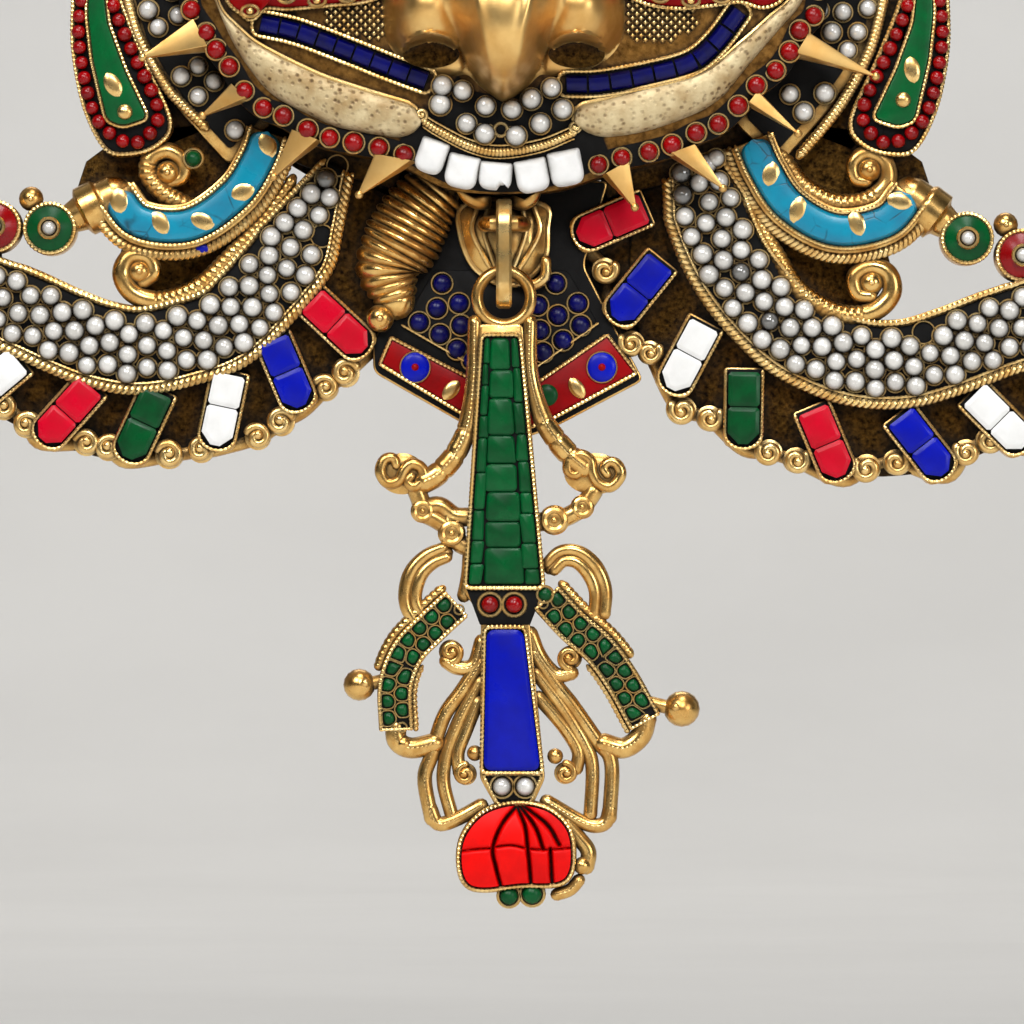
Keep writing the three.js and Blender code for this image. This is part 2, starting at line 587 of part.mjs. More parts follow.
// Chin fan and the ribbed horn beside it.
castParts.push(plate(CHIN_EDGE, ...CHIN_DEPTHS));
const hornPoints = RIBBED_HORN.map(([x, z]) => [x, z, RIBBED_HORN_DEPTH]);
castParts.push(wire(hornPoints, (u) => 7.6 - 3.6 * u * u, 5, 7));

// Wings: floor plate, bead tray and stone frames, with the arm, ear and discs above.
for (const [side, sign] of SIDES) {
  const path = WING_PATH[side];
  const trayHalf = (u) => Math.min(7.2, (side === "left" ? 2 : 5) + 34 * u, 2.4 + 18 * (1 - u));
  const rimReach = (u) => Math.min(24.2 - 6.6 * u * u, 12 + 60 * u) - (u > 0.86 ? (u - 0.86) * 40 : 0);
  const wall = (u) => trayHalf(u) + TRAY_WALL;
  const floorReach = sign > 0 ? [wall, rimReach] : [rimReach, wall];
  castParts.push(plate(stripOutline(path, ...floorReach, WING_STEPS), PLATE_BACK, WING_FLOOR));
  castParts.push(plate(stripOutline(path, wall, wall, WING_STEPS), PLATE_BACK, TRAY_TOP));

  const bedOutline = stripOutline(path, trayHalf, trayHalf, WING_STEPS);
  inlay(`wing_pearls_${side}`, "pearl", flatStone(bedOutline, [STONE_FLOOR, BEAD_BED_TOP], 0));

  WING_STONES[side].forEach(([x, z, lean, length = TILE_LENGTH], i) => {
    const outline = rectangle(x, z, TILE_WIDTH, length, lean);
    castParts.push(plate(grow(outline, STONE_FRAME_WIDTH), PLATE_BACK, STONE_FRAME_TOP));
    const name = `wing_stone_${side}_${i + 1}`;
    inlay(name, STONE_COLOURS[side][i], flatStone(outline, [STONE_FLOOR, STONE_TOP], 0.8));
  });

  castParts.push(plate(mirror(ARM_WEB, sign), PLATE_BACK, WEB_TOP));
  castParts.push(plate(mirror(MANE_EDGE, sign), PLATE_BACK, MANE_TOP));
  castParts.push(plate(mirror(smoothOutline(EAR_EDGE, 12), sign), PLATE_BACK, EAR_TOP));
  const armPath = mirror(ARM_PATH, sign);
  const armFrame = stripOutline(armPath, constant(ARM_HALF), constant(ARM_HALF), 6);
  castParts.push(plate(armFrame, PLATE_BACK, ARM_TOP));
  const armOutline = stripOutline(armPath, between(3.2, 2.9), between(3.2, 2.9), 6);
  inlay(`arm_turquoise_${side}`, "turquoise", flatStone(armOutline, ARM_STONE_DEPTHS, 0));
  const earOutline = mirror(smoothOutline(EAR_STONE, 9), sign);
  inlay(`ear_stone_${side}`, "green", flatStone(earOutline, EAR_STONE_DEPTHS, 0));
  const earPath = mirror(EAR_BEAD_PATH, sign);
  const earBed = stripOutline(earPath, constant(EAR_BEAD_HALF), constant(EAR_BEAD_HALF), 9);
  inlay(`ear_corals_${side}`, "coral", flatStone(earBed, EAR_BEAD_DEPTHS, 0));

  const { green, red, ball: grain } = DISCS[side];
  for (const [colour, [x, z]] of [["green", green], ["red", red]]) {
    castParts.push(post(x, z, PLATE_BACK, DISC_MOUNT_TOP, DISC_RADIUS + DISC_MOUNT_WALL, ROUND_SIDES));
    const slot = colour === "green" ? "green" : "coral";
    inlay(`disc_${colour}_${side}`, slot, (growth, seat) => {
      if (seat) {
        return post(x, z, DISC_FLOOR - growth, CLEAR_FRONT, DISC_RADIUS + growth, ROUND_SIDES);
      }
      return post(x, z, DISC_FLOOR, DISC_TOP, DISC_RADIUS, ROUND_SIDES, DISC_TIP_RADIUS);
    });
  }
  castParts.push(ball(...grain, GRAIN_DEPTH, GRAIN_RADIUS));
  const cuff = [...mirror([[78, -7], [86, -8]], sign), green].map(([x, z]) => [x, z, STEM_DEPTH]);
  castParts.push(wire(cuff, constant(3.6), 3, 5));
  castParts.push(plate(rectangle(red[0] + 6 * sign, red[1] - 4, 14, 8, 0), PLATE_BACK, WING_FLOOR));

  SCROLLS[side].forEach(([x, z, radius]) => castParts.push(scroll(x, z, radius, SCROLL_TOP)));
  castParts.push(wire(STEMS[side].map(([x, z]) => [x, z, STEM_DEPTH]), between(1.3, 2.2), 5, 4));

  inlay(`cheek_corals_${side}`, "coral", faceInlay(mirror(CORAL_PATH, sign), constant(1.7), 2.2, 1.4, 6));
  inlay(`moustache_lapis_${side}`, "lapis", faceInlay(MOUSTACHE_PATH[side], constant(1.8), 2.2, 1.6, 5));
  const browStone = faceInlay(mirror(BROW_PATH, sign), between(1.7, 1.1), -2.6, 5.8, 5);
  inlay(`brow_turquoise_${side}`, "turquoise", browStone);
  const eye = mirror([EYE_MIDDLE], sign)[0];
  const eyeOutline = ellipse(...eye, ...EYE_REACH, 12);
  inlay(`eye_${side}`, "white", (growth, seat) => {
    if (seat) {
      return plate(grow(eyeOutline, growth), EYE_BACK - growth, CLEAR_FRONT);
    }
    return mound(eyeOutline, eye, EYE_BACK, (x, z, share) => faceDepth(x, z) + EYE_RISE - 3 * share ** 2, 2);
  });
}

// Teeth, lip pearls, chin stones, forehead and crown jewels.
TEETH.forEach(([x, z, width, height, tilt], i) => {
  inlay(`tooth_${i + 1}`, "white", flatStone(rectangle(x, z, width, height, tilt), TOOTH_DEPTHS, 0.9));
});
const lipOutline = stripOutline(LIP_BED, constant(LIP_BED_HALF), constant(LIP_BED_HALF), 6);
inlay("lip_pearls", "pearl", flatStone(lipOutline, LIP_BED_DEPTHS, 0));
inlay("chin_lapis", "lapis", flatStone(CHIN_FIELD, CHIN_STONE_DEPTHS, 0));
inlay("chin_enamel", "enamel", flatStone(CHIN_ENAMEL, CHIN_STONE_DEPTHS, 0));
castParts.push(post(...JEWEL_MIDDLE, ...JEWEL_MOUNT_DEPTHS, 7.4, ROUND_SIDES));
inlay("forehead_jewel", "coral", flatStone(circle(...JEWEL_MIDDLE, 5.8, ROUND_SIDES), JEWEL_DEPTHS, 2));
for (const [name, x, z, radius, slot] of CROWN_STONES) {
  castParts.push(post(x, z, ...CROWN_MOUNT_DEPTHS, radius + 1.2, ROUND_SIDES));
  inlay(name, slot, flatStone(circle(x, z, radius, ROUND_SIDES), CROWN_STONE_DEPTHS, 1.6));
}

// Back: the hollow behind the face, and the hanging pad that bridges it with a nail hole.
const hollow = plate(grow(faceOutline, -SHELL_WALL), -1, HOLLOW_DEPTH);
const pad = plate(rectangle(0, HANG_HEIGHT - PAD_DROP, PAD_LENGTH, PAD_HEIGHT, 0), 0, PAD_THICK);
const nailHole = post(0, HANG_HEIGHT - NAIL_DROP, -1, PAD_THICK + 1, NAIL_RADIUS, 12);
const bridge = pad.intersect(plate(faceOutline, -1, PAD_THICK + 1));
const shell = join(castParts).subtract(hollow).add(bridge).subtract(nailHole);
const casting = shell.subtract(join(seats.splice(0)));

// Link: a closed slotted plate, its slot wide enough for the bar above and the pendant's ring below.
function slotOutline(top, bottom, radius) {
  const turn = Array.from({ length: 9 }, (unused, i) => (Math.PI * i) / 8);
  const upper = turn.map((a) => [radius * Math.cos(a), top - radius + radius * Math.sin(a)]);
  const lower = turn.map((a) => [-radius * Math.cos(a), bottom + radius - radius * Math.sin(a)]);
  return [...upper, ...lower];
}

function linkPlate(outline, halfThick) {
  const rings = [-halfThick, halfThick].map((x) => outline.map(([y, z]) => place(x, z, PIVOT_DEPTH - y)));
  return skin(rings);
}

const slotTop = LINK_TOP - (LINK_OUTER - LINK_INNER);
const slotBottom = PIVOT_HEIGHT - RING_WIRE - SEAT_GAP;
const link = linkPlate(slotOutline(LINK_TOP, LINK_BOTTOM, LINK_OUTER), LINK_HALF_THICK)
  .subtract(linkPlate(slotOutline(slotTop, slotBottom, LINK_INNER), LINK_HALF_THICK + 1));
inlays.push({ name: "mouth_link", slot: "brass", solid: link });

// Pendant: ring, spine, scrollwork and frames, with its stones let in.
const pendantParts = [plate(SPINE, PENDANT_BACK, PENDANT_FRONT)];
const ring = new THREE.TorusGeometry(RING_RADIUS, RING_WIRE, 6, 16);
ring.rotateX(Math.PI / 2);
const ringCentre = place(0, PIVOT_HEIGHT - RING_RADIUS, PIVOT_DEPTH);
ring.translate(ringCentre.x, ringCentre.y, ringCentre.z);
pendantParts.push(solidOf(ring));
for (const [points, first, last] of PENDANT_WIRES) {
  const path = points.map(([x, z]) => [x, z, PENDANT_MIDDLE]);
  pendantParts.push(wire(path, between(first, last), points.length - 1, 4));
}
for (const [x, z, radius] of PENDANT_BALLS) {
  pendantParts.push(ball(x, z, PENDANT_MIDDLE, radius));
}
const lotusOutline = smoothOutline(LOTUS_EDGE, 14);
pendantParts.push(plate(grow(lotusOutline, LOTUS_RIM), PENDANT_BACK, PENDANT_FRONT));
const pendantInlays = inlays.length;
inlay("pendant_green_panel", "green", flatStone(GREEN_PANEL, PENDANT_STONE_DEPTHS, 0.6));
inlay("pendant_blue_panel", "royal_blue", flatStone(BLUE_PANEL, PENDANT_STONE_DEPTHS, 0.6));
inlay("pendant_lotus", "lotus_red", (growth, seat) => {
  if (seat) {
    return plate(grow(lotusOutline, growth), PENDANT_SEAT - growth, CLEAR_FRONT);
  }
  return mound(lotusOutline, LOTUS_MIDDLE, PENDANT_SEAT, (x, z, share) => LOTUS_TOP - 2.4 * share ** 2, 2);
});
for (const [side] of SIDES) {
  const frame = stripOutline(SCALE_PATH[side], between(3.2, 3.8), between(3.2, 3.8), 5);
  pendantParts.push(plate(frame, PENDANT_BACK, PENDANT_FRONT));
  const outline = stripOutline(SCALE_PATH[side], between(1.8, 2.6), between(1.8, 2.6), 5);
  inlay(`pendant_scales_${side}`, "green", flatStone(outline, PENDANT_STONE_DEPTHS, 0));
}
const pendantCasting = join(pendantParts).subtract(join(seats.splice(0)));

function meshOf(name, solid, slot) {
  const data = solid.getMesh();
  const geometry = new THREE.BufferGeometry();
  geometry.setAttribute("position", new THREE.BufferAttribute(new Float32Array(data.vertProperties), 3));
  geometry.setIndex(Array.from(data.triVerts));
  geometry.computeVertexNormals();
  const mesh = new THREE.Mesh(geometry, materials[slot]);
  mesh.name = name;
  return mesh;
}

const mask = new THREE.Group();
mask.name = "kirtimukha_wall_mask";
mask.add(meshOf("mask_casting", casting, "brass"));
inlays.slice(0, pendantInlays).forEach(({ name, solid, slot }) => mask.add(meshOf(name, solid, slot)));
mask.add(meshOf("pendant_casting", pendantCasting, "brass"));
inlays.slice(pendantInlays).forEach(({ name, solid, slot }) => mask.add(meshOf(name, solid, slot)));

export default mask;
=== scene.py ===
"""Kirtimukha wall mask: the look of its brass casting, wirework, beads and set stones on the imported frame.

Shapes are drawn in millimetres as x, height and depth. x and height are measured from the middle of the
mouth, and depth is the distance out from the wall. The frame's origin is the hanging pad above the mouth.
"""
import math
import random

import bmesh
import bpy
import numpy as np
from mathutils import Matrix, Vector


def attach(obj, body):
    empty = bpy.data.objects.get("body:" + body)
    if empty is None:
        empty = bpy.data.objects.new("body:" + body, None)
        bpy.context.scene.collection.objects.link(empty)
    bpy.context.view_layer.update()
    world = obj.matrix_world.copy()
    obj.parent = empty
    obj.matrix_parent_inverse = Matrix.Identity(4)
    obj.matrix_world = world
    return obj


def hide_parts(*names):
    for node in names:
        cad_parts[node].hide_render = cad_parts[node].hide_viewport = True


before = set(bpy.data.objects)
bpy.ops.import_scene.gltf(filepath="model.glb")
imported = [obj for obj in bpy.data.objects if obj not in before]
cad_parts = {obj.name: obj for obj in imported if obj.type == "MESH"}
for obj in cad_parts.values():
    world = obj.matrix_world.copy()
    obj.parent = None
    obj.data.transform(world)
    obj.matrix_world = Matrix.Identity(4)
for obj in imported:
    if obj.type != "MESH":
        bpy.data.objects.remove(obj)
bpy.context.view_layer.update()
hand = random.Random(7)

HANG_HEIGHT = 74.0
METRE = 0.001
SIDES = (("left", -1), ("right", 1))

# Face dome, nose and the bands on it, drawn for the right half.
FACE_RIM_DEPTH = 14.0
FACE_RISE = 17.0
FACE_HALF_WIDTH = 70.0
FACE_HALF_HEIGHT = 54.0
FACE_MIDDLE = 40.0
SHELL_WALL = 5.0
HOLLOW_DEPTH = 15.0
PAD_MIDDLE = 71.0
PAD_HALF_SIZE = (52.0, 9.6)
PAD_FRONT = 4.0
NAIL_RADIUS = 3.2
FACE_TOP = [(66.5, 56), (58, 70), (40, 80), (20, 84.4), (0, 85.6)]
FACE_CORE = (0, 36)
JAW_LIP = 2.2
NAIL_HEIGHT = 67.2
NOSE_EDGE = [
    (0, 12.8), (2, 13.8), (4.6, 15.8), (7.2, 18.2), (10, 18), (15, 18.6), (20.5, 21.4), (23.4, 25.4),
    (24, 30), (23.6, 34), (20, 40), (12.5, 46), (8.6, 54), (7, 62), (0, 65),
]
NOSE_MIDDLE = (0, 30)
NOSE_BACK = 17.0
NOSE_HEIGHTS = [
    (12.6, 6), (13.6, 9.5), (15, 13), (18, 17.5), (22, 21), (27, 22.3), (34, 21.4), (45, 17), (56, 13),
    (65, 9),
]
NOSE_WIDTHS = [
    (12.6, 1.4), (13.6, 2.4), (16, 4.6), (18, 6), (21, 7.6), (26, 9.6), (34, 13), (45, 11), (65, 8),
]
NOSTRIL_MIDDLE = (14.4, 22.2)
NOSTRIL_HALF_SIZE = (5.6, 2.7)
CHEEK_UPPER = {
    "left": [
        (-15.8, 12), (-22.4, 13.8), (-30.8, 16.4), (-37.8, 19), (-48.4, 24.4), (-52.8, 28), (-56.4, 32),
        (-58, 39), (-58.4, 44),
    ],
    "right": [
        (12.2, 12), (19.2, 13.4), (27.2, 15.6), (39.2, 19), (47.2, 25), (52.8, 30), (57.2, 34),
        (58.6, 39), (58.6, 44),
    ],
}
CHEEK_LOWER = {
    "left": [
        (-17.2, 5.6), (-24.8, 6.4), (-32.8, 8), (-38.8, 10.6), (-45.8, 14.4), (-50.8, 20), (-54.4, 26),
        (-57.8, 34), (-59.8, 39), (-59.6, 44),
    ],
    "right": [
        (16.2, 5.6), (27.2, 7), (37.2, 10.4), (43.2, 14), (48.2, 20), (54.2, 27), (59.2, 33),
        (60.4, 39), (59.8, 44),
    ],
}
CHEEK_STEPS = 70
CORALS = {
    "left": [
        (-19.8, 2.6), (-24.8, 4), (-29.8, 5), (-34.6, 6), (-39, 7.6), (-43.8, 10.4), (-47.8, 12),
        (-51.6, 15.4), (-54.6, 20.2), (-57.2, 23.6), (-59.2, 27), (-62.2, 31.6), (-62.8, 36),
        (-63.4, 40.4), (-63.6, 44.8),
    ],
    "right": [
        (18.8, 0.6), (23.4, 2), (28.8, 3.2), (33.4, 4.6), (38.2, 7), (42.6, 8.8), (46.6, 12.4),
        (50.2, 16.4), (54, 19.4), (56.8, 23.2), (58.8, 27.4), (61.6, 30.4), (62.6, 35.6), (63.2, 40.2),
        (63.4, 44.8),
    ],
}
MOUSTACHE = {
    "left": [(-15.2, 17), (-22.8, 19.8), (-29.8, 22.6), (-40.8, 26.8), (-48.4, 28.6)],
    "right": [(12.2, 16.4), (19.2, 16.6), (29.2, 18.4), (37.2, 20.8), (42.2, 25), (46.8, 31.2)],
}
MOUSTACHE_TILES = 9
BROW_PATH = [(9, 54), (20, 60.4), (36, 63.6), (51, 60), (60, 52)]
DIADEM_PATH = [(-46, 64), (-26, 73), (0, 76), (26, 73), (46, 64)]
HORN_PATH = [(44, 72, 18), (60, 76, 18), (74, 86, 16), (80, 99, 14), (76, 112, 13)]
CROWN_EDGE = [
    (0, 118), (4.6, 110), (10, 101), (14.4, 105), (19, 100.5), (23, 92), (28, 95), (34, 89.6), (39, 82),
    (46, 78), (47, 66), (0, 70),
]
CROWN_STONES = (
    ("crown_stone_middle", 0, 100, 5.0),
    ("crown_stone_left", -19, 90, 4.0),
    ("crown_stone_right", 19, 90, 4.0),
)
FOREHEAD_JEWEL = (0, 68)
DIADEM_BEADS = 21
DIADEM_BEAD_REACH = 40
EYE_CENTRE = (37.0, 43.0)
LID_TOP = [(20.6, 37), (20, 44), (26, 52), (37, 55.2), (49, 52), (55.4, 43), (56, 37)]
LID_EDGE = {
    "left": [
        (54.4, 32.6), (52, 30.6), (50.4, 29.3), (48.9, 30.2), (47.4, 31.8), (43, 31.5), (35, 32.1),
        (26, 33.2),
    ],
    "right": [(55, 33.4), (51.2, 31.9), (47, 33), (41, 32.2), (34, 31.6), (27, 32.9)],
}
LID_CORNER_RING = {"left": [(-50.3, 30.9)], "right": []}
HATCH = {
    "left": [(-23.8, 25.2), (-31.2, 26), (-36.4, 28.6), (-34.8, 31.6), (-23.8, 33.2)],
    "right": [(24.2, 25.2), (32.8, 24.8), (38.8, 28), (37.2, 31.6), (24.2, 33.2)],
}
HATCH_PITCH = 0.85

# Mouth.
LIP_PEARLS = [
    (-12.2, 16), (-8.2, 15), (-12.6, 12.4), (-3.6, 12), (1.6, 11.4), (5.4, 13.4), (9.4, 15.6),
    (11.6, 11.4), (-7.4, 8.6), (-3.8, 6.6), (2.4, 6.2), (7.2, 8.6),
]
EMPTY_LIP_COLLET = (-0.6, 7.4)
LIP_ROPE = [(-16, 9.2), (-13.2, 7.4), (-6.8, 4.2), (-0.8, 3), (7.2, 4.2), (13.8, 6.8)]
TEETH = [
    (-14.4, 2.2, 5.8, 6.8, -20), (-8.3, -0.8, 6.5, 6.6, -13), (-1.7, -1.7, 6.6, 5.5, -5),
    (5.6, -1.6, 6.6, 6.5, 11), (12.3, -0.1, 6.7, 7.0, 11),
]
CHIPPED_TOOTH = 2
LIP_LOBES = (
    [(-9.4, -4), (-6, -5.4), (-2.8, -5.2), (-2.8, -7.6), (-5.2, -8), (-8, -6.6)],
    [(1.6, -5.2), (4, -5.8), (7.4, -4), (6.4, -6.8), (4, -8.2), (1.6, -7.6)],
)
UPPER_LIP_BED = [(-13, 14), (-8.4, 10), (0, 8.6), (8.4, 10), (12, 13.4)]
TOOTH_SHADOW_BED = [(-20, 6.4), (-9, 0.8), (0, -0.4), (9, 0.8), (20, 5)]
TOOTH_BACK = 21.6
TOOTH_FRONT = 28.4
CHIP_RADIUS = 1.2
TONGUE_EDGE = [
    (-8.6, -7), (-9, -13), (-6.4, -19.4), (-1, -23), (4, -22.6), (8.4, -18), (9, -12), (8.6, -7), (0, -5.5),
]
TONGUE_MIDDLE = (0, -13)
TONGUE_FOLDS = ((-5.2, -1.2), (-3.2, -0.8), (3.6, 0.8), (6, 1.2))
TONGUE_TIP_CURL = [(8.4, -18), (8.2, -21.4), (5.6, -23), (3.2, -21.6)]
STAPLE = [
    (-3.9, 13), (-3.7, 17), (-3.2, 20), (-2, 21.8), (0, 22), (2, 21.8), (3.2, 20), (3.7, 17), (3.9, 13),
]

# Spikes as the two base corners and the tip.
SPIKES = {
    "left": [
        [(-26.8, 1.6), (-18.4, 0), (-29.4, -6)],
        [(-43.2, 6.4), (-37.2, 4), (-46.4, -2.4)],
        [(-55.6, 16), (-52.2, 12.6), (-60.8, 10)],
        [(-63.4, 29.2), (-60, 22.8), (-72.8, 21.8)],
    ],
    "right": [
        [(25.6, 0), (20.2, -3), (26.4, -8.6)],
        [(39.2, 3.6), (33.6, 1.6), (44.2, -4.6)],
        [(51.8, 14.4), (49.6, 11.6), (59.2, 6.4)],
        [(62.2, 26.4), (59.2, 21.6), (74.8, 18)],
    ],
}

# Mane pockets, ears and arms.
MANE_EDGE = [
    (55, 1), (60, 6.4), (65, 12), (69.6, 18.6), (73.6, 25.6), (76, 34), (77, 44), (74, 56), (64, 60),
    (56, 40), (46, 10),
]
MANE_ROPE = {
    "left": [(-59.8, 8.6), (-64, 12.8), (-67.8, 17), (-72.8, 26), (-74.8, 32), (-76, 38), (-75.6, 46)],
    "right": [(59.2, 3), (64.8, 9.6), (69.2, 16), (73.2, 24), (75.2, 31), (76.4, 38), (76, 46)],
}
MANE_PEARLS = {
    "left": [
        (-71.2, 32), (-65.2, 31), (-69.2, 28.6), (-64.6, 18.8), (-61.2, 20.8), (-58, 17.8),
        (-61.2, 14.8), (-53.8, 8), (-70.8, 37.2), (-66.4, 36), (-68.8, 41.2), (-72.4, 42),
    ],
    "right": [
        (63.2, 32), (67.8, 31.6), (72.8, 32.4), (65.6, 27.6), (70.8, 27.6), (68.8, 24), (57.2, 15.2),
        (64.2, 15.4), (60, 11.6), (42.4, 2.4), (69.2, 36.8), (66.4, 40.8), (71.6, 41.6),
    ],
}
EAR_EDGE = [
    (86.6, 34), (86.6, 24), (84.4, 12.6), (80.2, 4.2), (75.6, 2.8), (69.4, 4.6), (66.4, 9.8), (71.6, 22),
    (76.4, 34), (79.6, 46), (83, 54), (86, 45),
]
EAR_STONE = [
    (82.8, 43), (83.2, 31), (82.2, 22), (79.4, 10), (76.3, 8.8), (71.4, 10.4), (76, 20), (79.4, 29.4),
    (80.8, 43),
]
EAR_SHIFT = {"left": 0.0, "right": 2.6}
EAR_BEAD_PATH = [
    (80, 42), (78.6, 34), (74.7, 24.4), (69.3, 12.4), (71.2, 7), (75.7, 5.6), (81.9, 11.2), (85, 25.4),
    (84.2, 36), (83, 43),
]
EAR_LEAF = {"left": (-78.2, 17), "right": (81.6, 20)}
EAR_DOT = {"left": (-75.8, 11.6), "right": (79.8, 14)}
ARM_PATH = {
    "left": [(-47.2, 7.6), (-49.2, 2), (-53.8, -5), (-62.8, -11), (-72.8, -10.4), (-77.8, -5)],
    "right": [(49.6, 6), (52.2, 0), (57.2, -7.2), (66.2, -12), (76.2, -10.4), (81.2, -5)],
}
ARM_WEB = [
    (46, 9), (47, -4), (50, -14), (58, -24), (72, -30), (78, -20), (76, -12), (88, -10), (84, 2), (76, 8),
    (60, 10),
]
EAR_WEB = [(60, 8), (66, 22), (72, 36), (77, 46), (82, 45), (79, 28), (75, 11), (70, 4)]
JAW_WEB = [(18, 2), (22, -8), (34, -4), (44, 2), (50, 12), (40, 14), (24, 6)]
CHIN_WEB = [(12, -4), (40, -2), (40, -20), (30, -36), (20, -34), (13, -19)]
ARM_LEAVES = {
    "left": [(-47.4, 5, 115), (-52.4, -4.4, 25), (-60.4, -10.2, 165), (-68.6, -10.8, 125), (-76.8, -6.4, 98)],
    "right": [(53.2, -1, 80), (58.6, -8, 75), (70.6, -11, 110), (79.2, -6.4, 165)],
}
DISCS = {
    "left": {"green": (-91, -11.6), "red": (-102, -11.2), "ball": (-94.8, -5.6)},
    "right": {"green": (92.8, -13.6), "red": (103.8, -17), "ball": (100.6, -10.8)},
}
DISC_RADIUS = 4.6
DISC_FRONT = 14.2
CUFF_DEPTH = 9.0
WEB_BACK = 3.3
WEB_BACK_STEP = 0.15
WEB_FRONT = 6.0
ARM_PLATE = (2.8, 13.4)
ARM_HALF_WIDTH = 4.6
ARM_WIRE_DEPTH = 14.4
ARM_STONE_DEPTH = 13.6
ARM_STONE_HALF_WIDTH = 3.2
EAR_PLATE = (3.0, 12.4)
EAR_STONE_FRONT = 14.6
CUFF_PROFILE = ((0, 0.2, 0.24, 0.5, 0.54, 0.7, 1), (4.3, 4.4, 5.1, 5.1, 3.6, 3.0, 2.2))
ARM_BLUE_CHIP = (-60.4, -15.6)
ARM_GREEN_BEAD = (-62.2, 2.4)
ARM_SCROLL = {
    "left": [
        (-58, -8), (-62.8, -7.2), (-67.8, -4.8), (-71.2, -1), (-70.8, 2.6), (-67.4, 4), (-64.4, 2),
        (-64.4, -1.2), (-67.2, -2.4),
    ],
    "right": [
        (55.2, 3.6), (59.6, -2.6), (65.4, -6.2), (72, -6.2), (76.6, -2.8), (76.4, 1.6), (72.8, 3.6),
        (70, 1.6), (70.4, -1.6), (72.8, -2.2),
    ],
}
ARM_SCROLL_EYE = {"left": (-67.4, -0.4), "right": (73.2, 0.2)}
STEM_SCROLL = {
    "left": [
        (-42.4, -1.6), (-43.8, -4), (-48.4, -10.4), (-53.8, -16), (-60.8, -23), (-68.4, -26),
        (-74, -24.8), (-76.6, -20.8), (-75, -17.2), (-71.4, -17.4), (-70.2, -20.4), (-72.4, -22.4),
    ],
    "right": [
        (44.8, 0), (47.6, -4), (50.2, -9), (54.4, -16.4), (59.2, -24), (66.8, -28.6), (73.6, -28.4),
        (77.6, -24.8), (77, -20.6), (73.4, -19.2), (70.2, -21.2), (70.8, -24.6), (73.6, -25.2),
    ],
}
STEM_SCROLL_EYE = {"left": (-73, -20.2), "right": (73.6, -22.4)}

# Wings.
WING_PATH = {
    "left": [
        (-33.6, 0.6), (-38.6, -9), (-42.6, -16.4), (-48.8, -24), (-55.8, -31), (-63.8, -34),
        (-72.8, -35.8), (-80.8, -34.6), (-87.8, -32), (-94.8, -28.8), (-102.4, -25.4), (-110.5, -20),
        (-114.5, -11), (-114.5, -3),
    ],
    "right": [
        (38.2, 0), (43.2, -14), (48.2, -22.6), (56.6, -31.6), (64.2, -36), (72.2, -38.4), (80.8, -38.4),
        (89.2, -36), (97, -33), (105.4, -29.8), (113.4, -23.6), (117, -14), (116.8, -5),
    ],
}
WING_STONES = {
    "left": [
        (-33.2, -31, 47), (-43.4, -40.6, 23), (-56.4, -48, -12), (-72.4, -51, -25), (-87.6, -48.6, -42),
        (-102.8, -42.8, -50), (-114.8, -34.2, -60, 11.4), (-123, -21.4, -78, 11), (-124.8, -6.8, -96, 10.4),
    ],
    "right": [
        (21.4, -10.4, -67), (26.8, -24, -39), (36.8, -37.4, -28), (48, -47.6, -1), (64.6, -54.6, 23),
        (83.8, -55, 38), (99.2, -50, 45), (114.8, -42.6, 56, 12.6), (124.2, -29.8, 74, 11),
        (127, -14.6, 94, 10.4),
    ],
}
STONE_COLOURS = {
    "left": ("crimson", "royal_blue", "white", "green", "crimson", "white", "green", "royal_blue",
             "crimson"),
    "right": ("crimson", "royal_blue", "white", "green", "crimson", "royal_blue", "white", "green",
              "crimson", "royal_blue"),
}
WING_FLOOR = (3.0, 7.0)
WING_TRAY = (3.6, 11.4)
WING_BED = 11.7
WING_WALL = 1.6
WING_WIRE_DEPTH = 12.2
PEARL_PITCH = 4.5
PEARL_RADIUS = 2.05
PEARL_DEPTH = 12.5
PEARL_COLLET_DEPTH = 12.1
TILE_WIDTH = 6.3
TILE_LENGTH = 14.6
TILE_FRAME = (3.4, 10.8)
TILE_BED = 11.2
TILE_WIRE_DEPTH = 11.6
TILE_FRONT = 13.3
LAC_BACK = 8.0
RIM_CURL_DEPTH = 9.8
RIM_CURL_SIZE = 1.32
RIM_CURL_GAP = 9.0
SPARE_CURL_RADIUS = 2.3
EMPTY_COLLETS = [(-37.8, -12.2), (-33.8, 1), (83, -33)]
GLASS_BEADS = [(-36.6, -0.4), (33.6, -1), (34.6, -6), (46.2, -21.6), (54.4, -32.6)]
RIM_CURLS = {
    "left": [
        (-31.8, -40.6, 2.6), (-35.8, -43.6, 2.4), (-44.8, -50.4, 2.6), (-49.4, -53.4, 2.4),
        (-60.8, -56, 2.4), (-67.2, -57, 2.6), (-79.4, -55.6, 2.4), (-83.8, -54.6, 2.4), (-95.8, -51, 2.4),
        (-100.4, -47.4, 2.4),
    ],
    "right": [
        (20.2, -20, 2.4), (25.6, -34.6, 2.4), (29.2, -36.4, 2.2), (35.8, -48, 2.6), (41.2, -49.6, 2.4),
        (53.2, -56.4, 2.4), (58.6, -58, 2.4), (72.8, -59.6, 2.6), (78.6, -58.4, 2.4),
        (92.8, -56.4, 2.4), (97.2, -54, 2.4),
    ],
}

